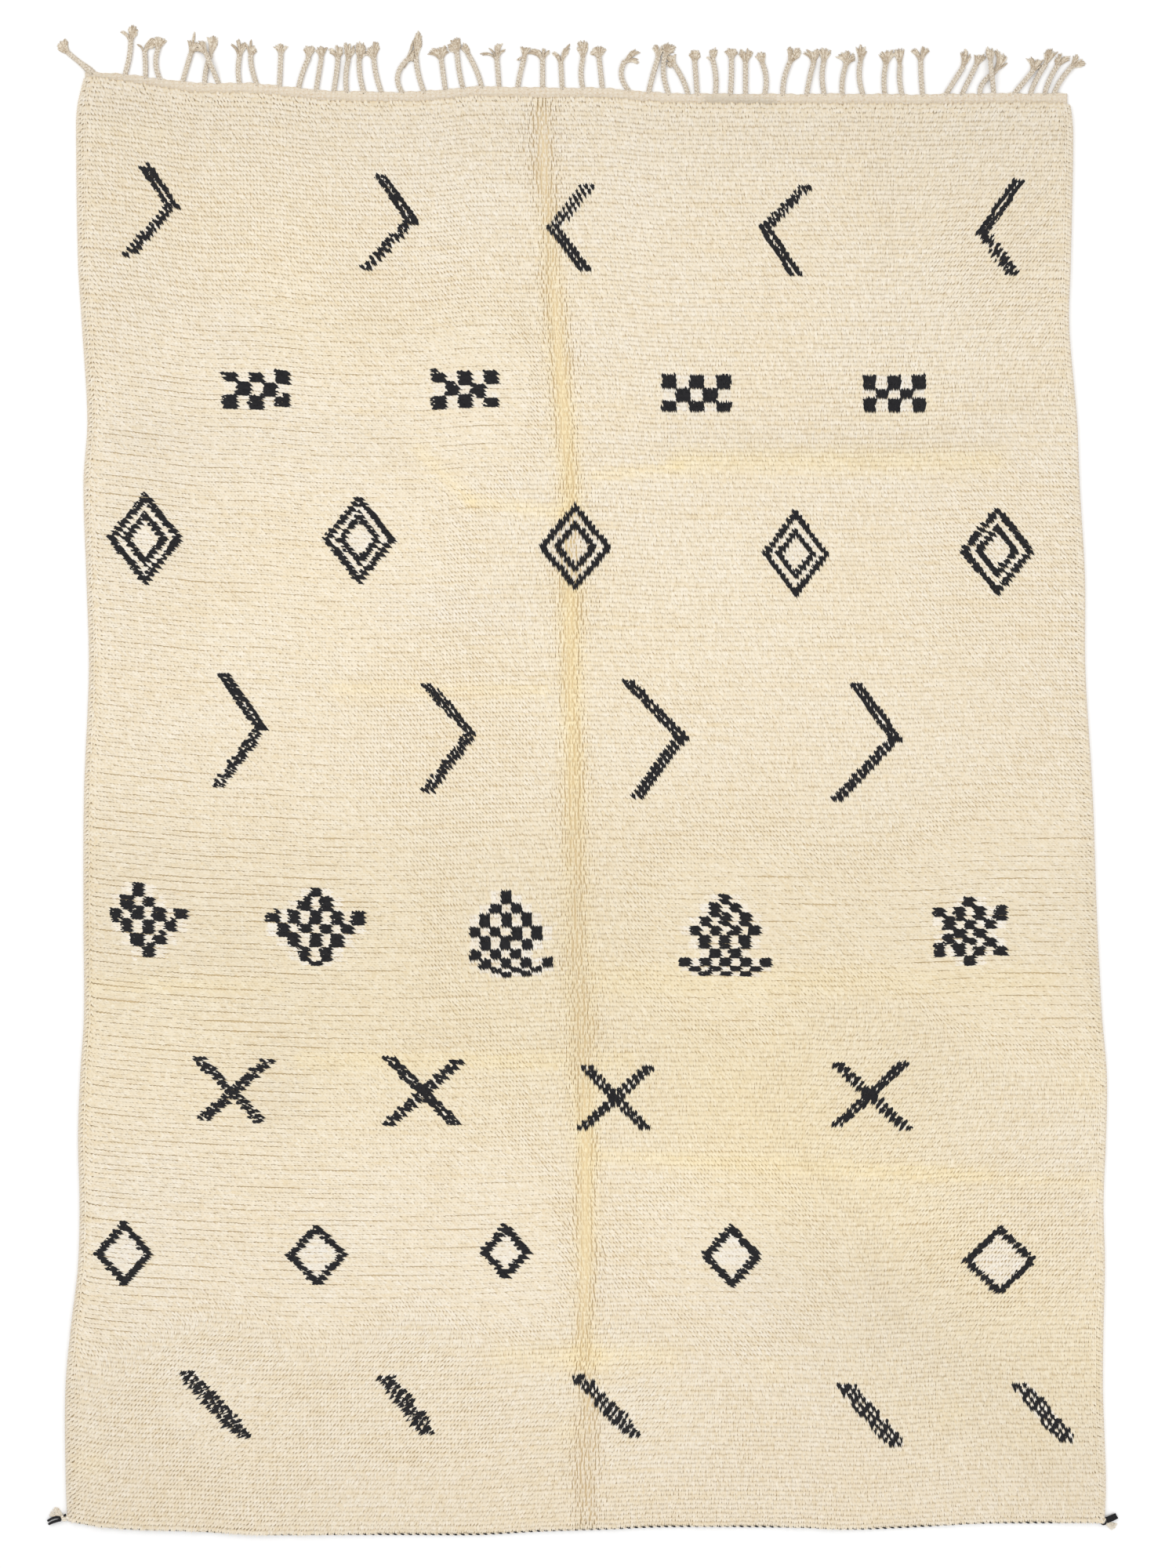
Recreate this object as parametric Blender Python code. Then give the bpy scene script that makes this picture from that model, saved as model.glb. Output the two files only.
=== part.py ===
"""Beni ourain rug, laid flat on the floor.

A hand-knotted wool rug: one cream field of short pile, a flat-woven strip at the top end whose warps are
plaited into tassels, an overcast bundle of warps down each long side, and a twined two-colour cord that
closes the bottom end under the pile and is knotted into a small tassel at each corner.

Blender units are metres. The tables below are in millimetres, measured from the middle of the whole rug:
x to the right, y towards the plaited fringe, z up from the floor.
"""

from bisect import bisect_right
from collections import namedtuple
from math import cos, exp, hypot, pi, sin

import bmesh
import bpy
from mathutils import Vector

MM = 0.001
GAP = 0.3             # between two pieces whose outlines run exactly side by side
CURVE_GAP = 0.9       # between two pieces whose curved outlines are stepped differently

# --- the cloth's outline, as it lies -------------------------------------------------------------------

LongEdge = namedtuple("LongEdge", "y left right")
LONG_EDGES = (
    LongEdge(-1541, -1050, 1068),
    LongEdge(-1439, -1055, 1072),
    LongEdge(-1247, -1056, 1066),
    LongEdge(-1119, -1045, 1067),
    LongEdge(-991, -1030, 1070),
    LongEdge(-863, -1027, 1067),
    LongEdge(-735, -1030, 1072),
    LongEdge(-607, -1026, 1074),
    LongEdge(-479, -1018, 1064),
    LongEdge(-287, -1019, 1054),
    LongEdge(-31, -1018, 1045),
    LongEdge(225, -1008, 1030),
    LongEdge(416, -1013, 1029),
    LongEdge(608, -1019, 1018),
    LongEdge(736, -1011, 1013),
    LongEdge(928, -1022, 997),
    LongEdge(1056, -1030, 1000),
    LongEdge(1312, -1034, 1005),
    LongEdge(1376, -1032, 1000),
    LongEdge(1450, -1015, 978),
)

ShortEdge = namedtuple("ShortEdge", "x top bottom")
SHORT_EDGES = (
    ShortEdge(-1056, 1451, -1511),
    ShortEdge(-979, 1448, -1524),
    ShortEdge(-915, 1442, -1529),
    ShortEdge(-851, 1434, -1531),
    ShortEdge(-787, 1427, -1533),
    ShortEdge(-659, 1425, -1540),
    ShortEdge(-531, 1412, -1540),
    ShortEdge(-339, 1409, -1540),
    ShortEdge(-211, 1419, -1540),
    ShortEdge(-83, 1417, -1533),
    ShortEdge(45, 1416, -1529),
    ShortEdge(173, 1406, -1524),
    ShortEdge(429, 1404, -1525),
    ShortEdge(557, 1404, -1529),
    ShortEdge(685, 1403, -1524),
    ShortEdge(813, 1405, -1517),
    ShortEdge(941, 1405, -1516),
    ShortEdge(1072, 1403, -1515),
)

# --- the knotted field ---------------------------------------------------------------------------------

PILE_HEIGHT = 14.5        # foundation and pile together
RIM_HEIGHT = 9.8          # where the nap turns down at the edges
NAP_FALL = 9.0            # how far in from an edge the nap reaches most of its height
FIELD_ROWS = 46
HALF_COLUMNS = 15         # each side of the old centre fold
HEM_STEPS = (0, 9, 22)    # rows close to the hem
RIM_STEPS = (0, 5, 14)    # rows and columns close to the other three edges
FOLD_STEPS = (9, 22)      # columns close to the centre fold
LIP_IN = 0.8              # the nap's underside over the twined cord
LIP_HEIGHT = 9.0
UNDERCUT = 7.4            # how far the cord sits in under the pile
UNDERCUT_HEIGHT = 8.8

# The rug was stored folded in half: the pile is parted along this line, from the bottom to the top.
FoldPlace = namedtuple("FoldPlace", "y x")
CENTRE_FOLD = (
    FoldPlace(-1545, 10),
    FoldPlace(-1180, 8),
    FoldPlace(-755, 8),
    FoldPlace(-330, -8),
    FoldPlace(310, -22),
    FoldPlace(590, -24),
    FoldPlace(975, -56),
    FoldPlace(1360, -82),
    FoldPlace(1460, -84),
)
CENTRE_FOLD_DEPTH = 3.2
CENTRE_FOLD_WIDTH = 15.0

# Softer creases across the rug, each from one end to the other.
Crease = namedtuple("Crease", "x0 y0 x1 y1 depth width")
CREASES = (
    Crease(0, 642, 840, 655, 2.2, 36),
    Crease(-335, 665, -66, 545, 1.8, 30),
    Crease(-500, 195, -80, 180, 1.6, 32),
    Crease(-620, -572, -20, -560, 2.2, 36),
    Crease(-1000, -418, -630, -420, 1.4, 30),
    Crease(30, -408, 930, -412, 1.8, 46),
    Crease(20, -762, 1030, -812, 1.6, 32),
    Crease(-160, -1175, 180, -1172, 1.8, 36),
)

# Long low swells left by the hand-beaten wefts.
SWELL_HEIGHT = 0.5
SWELL_LENGTH_X = 118.0
SWELL_LENGTH_Y = 83.0
SWELL_SKEW = 300.0        # the swells run slightly across the rug
RELIEF_FADE = 30.0        # creases and swells fade out this near to the rim

# --- the bound edges -----------------------------------------------------------------------------------

SELVEDGE_WIDTH = 11.5
SelvedgePoint = namedtuple("SelvedgePoint", "inward z")
SELVEDGE_SECTION = (
    SelvedgePoint(1.5, 0.0),
    SelvedgePoint(10.0, 0.0),
    SelvedgePoint(11.5, 4.4),
    SelvedgePoint(9.0, 9.0),
    SelvedgePoint(3.0, 9.0),
    SelvedgePoint(0.0, 4.4),
)

CORD_RADIUS = 4.1
CORD_WAIST = 3.3          # where one yarn dives under the other
CORD_OUT = 1.5            # how far the cord shows past the pile's edge
CORD_TWIST = 15.4         # length of one full turn of the two yarns
CORD_SLANT = 2.4          # each turn leans along the cord
CORD_SIDES = 6
CORD_LEFT = -1049.5       # its two ends, where the corner tassels begin
CORD_RIGHT = 1060.0

# --- the flat-woven strip and its plaited warps --------------------------------------------------------

BAND_HEIGHT = 4.6
BAND_WIDTH = 23.0
BAND_WIDTH_AT_LEFT = 15.0     # the pile reaches nearer to the edge at the left end
BAND_TAPER_START = -1000.0
BAND_TAPER_END = -760.0

PLAIT_WIDTH = 11.5
PLAIT_HEIGHT = 7.2
PLAIT_RINGS = 6
PLAIT_NIP = 0.86              # each second ring is this much narrower, where the strands cross
CORNER_PLAIT_WIDTH = 18.0
TOP_FACE = 0.6                # a strand's top is this much of its width
HEAD_LENGTH = 0.45            # where the tuft parts into locks, as a part of its length
HEAD_SPREAD = 0.8             # width there, as a part of the tuft's spread
HEAD_HEIGHT = 6.4
LOCK_HEIGHT = 5.0
LOCK_TIP_HEIGHT = 2.2
LOCK_WAIST = 0.74             # width of a lock half way, as a part of the room it has there
OUTER_TIPS = 0.38             # the outer locks end this much of the spread to each side
OUTER_SHORT = 2.5             # and this much short of the middle one
TIP_FILL = 0.68               # width of a cut tip, as a part of the room between two tips
LIFT_TIME = 0.5               # a plait that lies over its neighbour has risen by this part of its length

# One row for each tassel, from left to right: x of its root, sideways bow of the plait, sideways lean and
# reach of the plait's end, then the middle of the cut tuft from there (across, out), the tuft's spread,
# and how high the plait lies over a neighbour.
Tassel = namedtuple("Tassel", "x bow lean reach across out spread lift")
TASSELS = (
    Tassel(-1003, 0, -49, 40, -12, 19, 20, 0),
    Tassel(-934, 3, 12, 71, -7, 24, 25, 0),
    Tassel(-892, 1, -2, 55, -2, 14, 26, 0),
    Tassel(-863, -7, -2, 63, 0, 22, 22, 0),
    Tassel(-816, 0, 17, 58, -1, 30, 15, 0),
    Tassel(-771, -3, 13, 59, 4, 33, 17, 0),
    Tassel(-743, 0, -25, 61, -16, 20, 13, 7.8),
    Tassel(-700, -3, 1, 57, -6, 25, 27, 0),
    Tassel(-665, -3, -12, 58, 5, 22, 14, 0),
    Tassel(-618, 0, 3, 66, -1, 16, 24, 0),
    Tassel(-579, -2, 21, 62, 0, 21, 17, 0),
    Tassel(-543, 0, 11, 66, -1, 17, 21, 0),
    Tassel(-507, 1, 9, 68, 1, 18, 15, 0),
    Tassel(-481, -3, 4, 65, -3, 27, 14, 0),
    Tassel(-446, -3, -9, 67, 3, 25, 14, 0),
    Tassel(-410, -3, -15, 69, 4, 27, 15, 0),
    Tassel(-368, -14, 12, 66, 4, 17, 16, 0),
    Tassel(-323, -3, -16, 69, 6, 42, 12, 0),
    Tassel(-279, 0, -9, 65, -6, 13, 26, 0),
    Tassel(-243, -2, -12, 72, -7, 21, 16, 0),
    Tassel(-205, 3, -27, 65, -7, 18, 14, 0),
    Tassel(-169, 0, -5, 61, -5, 17, 40, 0),
    Tassel(-131, -1, 14, 61, -1, 16, 22, 0),
    Tassel(-80, 0, 0, 61, -3, 17, 30, 0),
    Tassel(-40, 0, -3, 53, 0, 24, 28, 0),
    Tassel(2, -4, 1, 61, -3, 28, 22, 0),
    Tassel(42, 0, -7, 66, -1, 17, 30, 0),
    Tassel(95, -11, -6, 60, 18, 10, 16, 0),
    Tassel(137, -1, 20, 72, -2, 21, 14, 0),
    Tassel(177, -6, -7, 78, 5, 22, 17, 0),
    Tassel(217, 3, -29, 60, -1, 12, 13, 0),
    Tassel(236, 0, -5, 67, 0, 20, 22, 0),
    Tassel(273, 4, -6, 71, -2, 16, 17, 0),
    Tassel(304, 1, 2, 74, 0, 18, 22, 0),
    Tassel(335, 0, 0, 65, -2, 20, 18, 0),
    Tassel(374, 5, -4, 61, -6, 17, 16, 0),
    Tassel(411, -4, 15, 65, 7, 25, 20, 0),
    Tassel(460, -1, 15, 67, -9, 18, 18, 0),
    Tassel(496, -4, -1, 67, 4, 20, 20, 0),
    Tassel(533, -4, 9, 63, -1, 20, 30, 0),
    Tassel(575, -5, -5, 66, 0, 27, 20, 0),
    Tassel(620, -3, 2, 61, -2, 21, 21, 0),
    Tassel(655, -3, -4, 61, -4, 23, 14, 0),
    Tassel(697, -1, -4, 71, 2, 19, 32, 0),
    Tassel(745, 0, 35, 55, 3, 30, 18, 0),
    Tassel(778, 0, 29, 59, 5, 19, 17, 0),
    Tassel(814, -9, 34, 46, 15, 22, 17, 0),
    Tassel(843, -1, -8, 62, -4, 29, 14, 7.8),
    Tassel(885, 0, 39, 47, 3, 19, 19, 0),
    Tassel(918, -3, 31, 60, 6, 22, 22, 0),
    Tassel(947, -3, 26, 57, 3, 24, 15, 0),
    Tassel(966, -4, 37, 56, 18, 7, 18, 0),
)

# --- the corner tassels on the twined cord's ends ------------------------------------------------------

CORNER_KNOT_WIDTH = 12.0
CORNER_KNOT_HEIGHT = 10.0
CORNER_NECK = 6.0         # width and height where it leaves the cord
CORNER_SHOULDER = 9.0     # and half way to the knot
CORNER_TIP_WIDTH = 4.4
NECK_GAP = 0.8            # to the end of the twined cord, which it leaves at a slight angle

Tip = namedtuple("Tip", "x y")
Corner = namedtuple("Corner", "knot head width tips")
LEFT_CORNER = Corner(
    knot=Tip(-1061, -1508), head=Tip(-1068, -1508), width=17,
    tips=(Tip(-1092, -1523), Tip(-1095, -1515), Tip(-1084, -1495), Tip(-1073, -1487)))
RIGHT_CORNER = Corner(
    knot=Tip(1068, -1516), head=Tip(1074, -1515), width=17,
    tips=(Tip(1091, -1498), Tip(1095, -1505), Tip(1093, -1524), Tip(1083, -1533)))


# --- shared shapes -------------------------------------------------------------------------------------

def smooth(at, places, values):
    """Read a table at one place, on a smooth curve through all of its rows."""
    last = len(places) - 1
    i = min(max(bisect_right(places, at) - 1, 0), last - 1)

    def slope(k):
        before, after = max(k - 1, 0), min(k + 1, last)
        return (values[after] - values[before]) / (places[after] - places[before])

    span = places[i + 1] - places[i]
    t = (at - places[i]) / span
    start, end = values[i], values[i + 1]
    rise = end - start
    leave, arrive = slope(i) * span, slope(i + 1) * span
    return start + t * (leave + t * (3 * rise - 2 * leave - arrive + t * (leave + arrive - 2 * rise)))


def blend(a, b, part):
    return a + (b - a) * part


def column_of(table, name):
    return [getattr(row, name) for row in table]


def left_edge(y):
    return smooth(y, column_of(LONG_EDGES, "y"), column_of(LONG_EDGES, "left"))


def right_edge(y):
    return smooth(y, column_of(LONG_EDGES, "y"), column_of(LONG_EDGES, "right"))


def top_edge(x):
    return smooth(x, column_of(SHORT_EDGES, "x"), column_of(SHORT_EDGES, "top"))


def hem_edge(x):
    return smooth(x, column_of(SHORT_EDGES, "x"), column_of(SHORT_EDGES, "bottom"))


def centre_fold(y):
    return smooth(y, column_of(CENTRE_FOLD, "y"), column_of(CENTRE_FOLD, "x"))


def band_width(x):
    part = min(max((BAND_TAPER_END - x) / (BAND_TAPER_END - BAND_TAPER_START), 0.0), 1.0)
    return blend(BAND_WIDTH, BAND_WIDTH_AT_LEFT, part)


def new_vert(bm, x, y, z):
    return bm.verts.new((x * MM, y * MM, z * MM))


def join_rings(bm, ring, next_ring):
    """Skin between two closed rings that have the same number of points."""
    count = len(ring)
    for i in range(count):
        j = (i + 1) % count
        bm.faces.new((ring[i], ring[j], next_ring[j], next_ring[i]))


def wool(name, colour, roughness):
    material = bpy.data.materials.new(name)
    material.use_nodes = True
    shader = material.node_tree.nodes["Principled BSDF"]
    shader.inputs["Base Color"].default_value = (*colour, 1.0)
    shader.inputs["Roughness"].default_value = roughness
    shader.inputs["Metallic"].default_value = 0.0
    material.diffuse_color = (*colour, 1.0)
    return material


def finish_piece(bm, name, material):
    bmesh.ops.recalc_face_normals(bm, faces=bm.faces)
    mesh = bpy.data.meshes.new(name)
    bm.to_mesh(mesh)
    bm.free()
    mesh.materials.append(material)
    piece = bpy.data.objects.new(name, mesh)
    bpy.context.collection.objects.link(piece)
    return piece


# --- the knotted field ---------------------------------------------------------------------------------

Step = namedtuple("Step", "part offset")


def field_rows():
    """From the hem to the woven strip: a part of the way, and an offset from there."""
    return (
        [Step(0.0, step) for step in HEM_STEPS]
        + [Step(i / FIELD_ROWS, 0.0) for i in range(1, FIELD_ROWS)]
        + [Step(1.0, -step) for step in reversed(RIM_STEPS)]
    )


def field_columns():
    """From the left selvedge to the centre fold (parts 0 to 1) and on to the right one (1 to 2)."""
    inner = [i / HALF_COLUMNS for i in range(1, HALF_COLUMNS)]
    return (
        [Step(0.0, step) for step in RIM_STEPS]
        + [Step(part, 0.0) for part in inner]
        + [Step(1.0, -step) for step in reversed(FOLD_STEPS)]
        + [Step(1.0, 0.0)]
        + [Step(1.0, step) for step in FOLD_STEPS]
        + [Step(1.0 + part, 0.0) for part in inner]
        + [Step(2.0, -step) for step in reversed(RIM_STEPS)]
    )


def field_place(column, row):
    """Where a row and a column of the field cross, in plan."""
    inset = SELVEDGE_WIDTH + GAP
    x = blend(left_edge(0.0), right_edge(0.0), column.part / 2)
    for _ in range(3):
        hem = hem_edge(x)
        far = top_edge(x) - band_width(x) - CURVE_GAP
        y = blend(hem, far, row.part) + row.offset
        fold = centre_fold(y)
        if column.part <= 1.0:
            x = blend(left_edge(y) + inset, fold, column.part) + column.offset
        else:
            x = blend(fold, right_edge(y) - inset, column.part - 1.0) + column.offset
    return x, y


def crease_depth(x, y):
    """How far old folds press the pile down at a place."""
    depth = CENTRE_FOLD_DEPTH * exp(-((x - centre_fold(y)) / CENTRE_FOLD_WIDTH) ** 2)
    for crease in CREASES:
        run_x, run_y = crease.x1 - crease.x0, crease.y1 - crease.y0
        along = ((x - crease.x0) * run_x + (y - crease.y0) * run_y) / (run_x ** 2 + run_y ** 2)
        along = min(max(along, 0.0), 1.0)
        away = hypot(x - crease.x0 - along * run_x, y - crease.y0 - along * run_y)
        depth += crease.depth * exp(-(away / crease.width) ** 2)
    return depth


def nap_height(x, y, edge_distance):
    fallen = (PILE_HEIGHT - RIM_HEIGHT) * exp(-(edge_distance / NAP_FALL))
    swell = SWELL_HEIGHT * sin(x / SWELL_LENGTH_X) * sin(y / SWELL_LENGTH_Y + x / SWELL_SKEW)
    inside = 1.0 - exp(-(edge_distance / RELIEF_FADE))
    return PILE_HEIGHT - fallen + (swell - crease_depth(x, y)) * inside


def knotted_field(material):
    rows, columns = field_rows(), field_columns()
    plan = [[field_place(column, row) for column in columns] for row in rows]
    bm = bmesh.new()

    def edge_distance(i, j):
        x, y = plan[i][j]
        to_ends = min(y - plan[0][j][1], plan[-1][j][1] - y)
        to_sides = min(x - plan[i][0][0], plan[i][-1][0] - x)
        return min(to_ends, to_sides)

    nap = [
        [new_vert(bm, *plan[i][j], nap_height(*plan[i][j], edge_distance(i, j))) for j in range(len(columns))]
        for i in range(len(rows))
    ]
    for low, high in zip(nap, nap[1:]):
        for j in range(len(columns) - 1):
            bm.faces.new((low[j], low[j + 1], high[j + 1], high[j]))

    def hem_line(inward, z):
        """A line of points under the hem's nap, in from its edge."""
        part = inward / HEM_STEPS[1]
        return [
            new_vert(bm, blend(edge[0], inner[0], part), blend(edge[1], inner[1], part), z)
            for edge, inner in zip(plan[0], plan[1])
        ]

    lip = hem_line(LIP_IN, LIP_HEIGHT)
    recess = hem_line(UNDERCUT, UNDERCUT_HEIGHT)
    foot = hem_line(UNDERCUT, 0.0)
    for upper, lower in ((nap[0], lip), (lip, recess), (recess, foot)):
        for j in range(len(columns) - 1):
            bm.faces.new((upper[j], lower[j], lower[j + 1], upper[j + 1]))

    def floor_below(i, j):
        return new_vert(bm, *plan[i][j], 0.0)

    last_row, last_column = len(rows) - 1, len(columns) - 1
    around = (
        [(i, last_column) for i in range(1, last_row + 1)]
        + [(last_row, j) for j in range(last_column - 1, -1, -1)]
        + [(i, 0) for i in range(last_row - 1, 0, -1)]
    )
    rim = [nap[i][j] for i, j in around]
    base = [floor_below(i, j) for i, j in around]
    for k in range(len(around) - 1):
        bm.faces.new((rim[k], base[k], base[k + 1], rim[k + 1]))
    bm.faces.new((nap[0][-1], lip[-1], recess[-1], foot[-1], base[0], rim[0]))
    bm.faces.new((rim[-1], base[-1], foot[0], recess[0], lip[0], nap[0][0]))
    bm.faces.new(list(reversed(foot + base)))
    return finish_piece(bm, "pile_field", material)


# --- the bound edges -----------------------------------------------------------------------------------

def selvedge(name, column, outward, material):
    """The overcast bundle beside one side of the field, from just over the twined cord to the woven strip."""
    spine = [field_place(column, row) for row in field_rows()[1:]]
    bm = bmesh.new()
    rings = [
        [new_vert(bm, x + outward * (SELVEDGE_WIDTH + GAP - point.inward), y, point.z)
         for point in SELVEDGE_SECTION]
        for x, y in spine
    ]
    for ring, next_ring in zip(rings, rings[1:]):
        join_rings(bm, ring, next_ring)
    bm.faces.new(rings[0])
    bm.faces.new(rings[-1])
    return finish_piece(bm, name, material)


def twined_cord(material):
    """Two yarns twined round each other along the hem: each turn stands out and leans along the cord."""
    turns = round((CORD_RIGHT - CORD_LEFT) / CORD_TWIST)
    last = 2 * turns
    bm = bmesh.new()
    rings = []
    for i in range(last + 1):
        x = blend(CORD_LEFT, CORD_RIGHT, i / last)
        radius = CORD_WAIST if i % 2 else CORD_RADIUS
        slant = CORD_SLANT if 0 < i < last else 0.0
        y = hem_edge(x) + CORD_RADIUS - CORD_OUT
        ring = []
        for side in range(CORD_SIDES):
            angle = 2 * pi * (side + 0.5) / CORD_SIDES
            z = 0.0 if sin(angle) < -0.9 else CORD_RADIUS + radius * sin(angle)
            ring.append(new_vert(bm, x + slant * sin(angle), y + radius * cos(angle), z))
        rings.append(ring)
    for ring, next_ring in zip(rings, rings[1:]):
        join_rings(bm, ring, next_ring)
    bm.faces.new(rings[0])
    bm.faces.new(rings[-1])
    return finish_piece(bm, "header_cord", material)


# --- plaits, tufts and locks ---------------------------------------------------------------------------

def strand_ring(bm, centre, ahead, width, height, lift):
    """Four points across a strand: two on what it lies on, two above them and closer together."""
    side = Vector((-ahead.y, ahead.x)).normalized()
    points = []
    for across, z in ((0.5, 0.0), (-0.5, 0.0), (-0.5 * TOP_FACE, height), (0.5 * TOP_FACE, height)):
        place = centre + side * (across * width)
        points.append(new_vert(bm, place.x, place.y, lift + z))
    return points


def lock(bm, foot_ring, tip, foot_width, tip_width, lift):
    """One lock of loose wool from a cell of the tuft's head to its blunt cut tip on the floor."""
    foot = sum((corner.co for corner in foot_ring), Vector()) / 4
    start = Vector((foot.x, foot.y)) / MM
    ahead = tip - start
    waist = LOCK_WAIST * (foot_width + tip_width / TIP_FILL) / 2
    middle = strand_ring(bm, start.lerp(tip, 0.5), ahead, waist, LOCK_HEIGHT, 0.4 * lift)
    point = strand_ring(bm, tip, ahead, tip_width, LOCK_TIP_HEIGHT, 0.0)
    join_rings(bm, foot_ring, middle)
    join_rings(bm, middle, point)
    bm.faces.new(point)


def tuft(bm, neck_ring, head, ahead, width, height, tips, tip_width, lift):
    """Widen a strand's last ring into a head, and part the head into one lock for each tip."""
    side = Vector((-ahead.y, ahead.x)).normalized()
    count = len(tips)
    low, high = [], []
    for i in range(count + 1):
        across = width * (0.5 - i / count)
        place = head + side * across
        low.append(new_vert(bm, place.x, place.y, lift))
        high.append(new_vert(bm, place.x, place.y, lift + height))
    low_left, low_right, high_right, high_left = neck_ring
    bm.faces.new([low_left] + low + [low_right])
    bm.faces.new([high_left] + high + [high_right])
    bm.faces.new((low_left, high_left, high[0], low[0]))
    bm.faces.new((low_right, high_right, high[-1], low[-1]))
    for i, tip in enumerate(tips):
        cell = (low[i], low[i + 1], high[i + 1], high[i])
        lock(bm, cell, tip, width / count, tip_width, lift)


def plait_points(tassel):
    """The plait's centre line, from its root on the strip to its end."""
    root = Vector((tassel.x, top_edge(tassel.x)))
    end = root + Vector((tassel.lean, tassel.reach))
    points = []
    for i in range(PLAIT_RINGS + 1):
        t = i / PLAIT_RINGS
        points.append(root.lerp(end, t) + Vector((tassel.bow * 4 * t * (1 - t), 0.0)))
    return points


def plaited_tassel(bm, root_ring, tassel, width):
    points = plait_points(tassel)
    ring = root_ring
    for i in range(1, PLAIT_RINGS + 1):
        t = i / PLAIT_RINGS
        ahead = points[min(i + 1, PLAIT_RINGS)] - points[i - 1]
        nipped = width * (PLAIT_NIP if i % 2 else 1.0)
        rise = min(t / LIFT_TIME, 1.0)
        lift = tassel.lift * rise * rise * (3 - 2 * rise)
        next_ring = strand_ring(bm, points[i], ahead, nipped, PLAIT_HEIGHT, lift)
        join_rings(bm, ring, next_ring)
        ring = next_ring
    end = points[-1]
    tuft_run = Vector((tassel.across, tassel.out))
    ahead = tuft_run.normalized()
    side = Vector((-ahead.y, ahead.x))
    middle = end + tuft_run
    tips = [middle + side * (tassel.spread * OUTER_TIPS * across) - ahead * (OUTER_SHORT * abs(across))
            for across in (1, 0, -1)]
    head = end + tuft_run * HEAD_LENGTH
    head_width = max(width * 1.1, tassel.spread * HEAD_SPREAD)
    tip_width = tassel.spread * OUTER_TIPS * TIP_FILL
    tuft(bm, ring, head, ahead, head_width, HEAD_HEIGHT, tips, tip_width, tassel.lift)


def fringe_band(material):
    """The flat-woven strip, stepped at every root, with its tassels growing out of its outer wall."""
    start = left_edge(top_edge(TASSELS[0].x))
    end = right_edge(top_edge(TASSELS[-1].x))
    widths = [CORNER_PLAIT_WIDTH] + [PLAIT_WIDTH] * (len(TASSELS) - 1)
    stops = [start]
    for tassel, width in zip(TASSELS, widths):
        stops += [tassel.x - width / 2, tassel.x + width / 2]
    stops.append(end)
    stops = sorted(stops)

    bm = bmesh.new()
    outer_low = [new_vert(bm, x, top_edge(x), 0.0) for x in stops]
    outer_high = [new_vert(bm, x, top_edge(x), BAND_HEIGHT) for x in stops]
    inner = [(x, top_edge(x) - band_width(x)) for x in stops]
    inner[0] = (left_edge(inner[0][1]), inner[0][1])
    inner[-1] = (right_edge(inner[-1][1]), inner[-1][1])
    inner_low = [new_vert(bm, *place, 0.0) for place in inner]
    inner_high = [new_vert(bm, *place, BAND_HEIGHT) for place in inner]
    for i in range(len(stops) - 1):
        j = i + 1
        bm.faces.new((outer_high[i], outer_high[j], inner_high[j], inner_high[i]))
        bm.faces.new((outer_low[i], outer_low[j], inner_low[j], inner_low[i]))
        bm.faces.new((inner_low[i], inner_low[j], inner_high[j], inner_high[i]))
        if i % 2 == 0:
            bm.faces.new((outer_low[i], outer_low[j], outer_high[j], outer_high[i]))
    for k in (0, -1):
        bm.faces.new((outer_low[k], outer_high[k], inner_high[k], inner_low[k]))
    for number, (tassel, width) in enumerate(zip(TASSELS, widths)):
        left, right = 2 * number + 1, 2 * number + 2
        root_ring = [outer_low[left], outer_low[right], outer_high[right], outer_high[left]]
        plaited_tassel(bm, root_ring, tassel, width)
    return finish_piece(bm, "fringe_band", material)


def corner_tassel(name, corner, cord_end, material):
    """The cord's knotted end: a short neck, the knot and its locks."""
    knot, head = Vector(corner.knot), Vector(corner.head)
    ahead = head - cord_end
    bm = bmesh.new()
    rings = [
        strand_ring(bm, cord_end, ahead, CORNER_NECK, CORNER_NECK, 0.0),
        strand_ring(bm, cord_end.lerp(knot, 0.5), ahead, CORNER_SHOULDER, CORNER_SHOULDER, 0.0),
        strand_ring(bm, knot, ahead, CORNER_KNOT_WIDTH, CORNER_KNOT_HEIGHT, 0.0),
    ]
    for ring, next_ring in zip(rings, rings[1:]):
        join_rings(bm, ring, next_ring)
    bm.faces.new(rings[0])
    tips = [Vector(tip) for tip in corner.tips]
    tuft(bm, rings[-1], head, ahead, corner.width, HEAD_HEIGHT, tips, CORNER_TIP_WIDTH, 0.0)
    return finish_piece(bm, name, material)


# --- the whole rug -------------------------------------------------------------------------------------

def centre_on_floor(pieces):
    """Move every mesh by the same small step, so that the rug's box stands centred on the origin."""
    corners = [vert.co for piece in pieces for vert in piece.data.vertices]
    middle = Vector((
        (min(co.x for co in corners) + max(co.x for co in corners)) / 2,
        (min(co.y for co in corners) + max(co.y for co in corners)) / 2,
        min(co.z for co in corners),
    ))
    for piece in pieces:
        for vert in piece.data.vertices:
            vert.co -= middle


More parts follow.
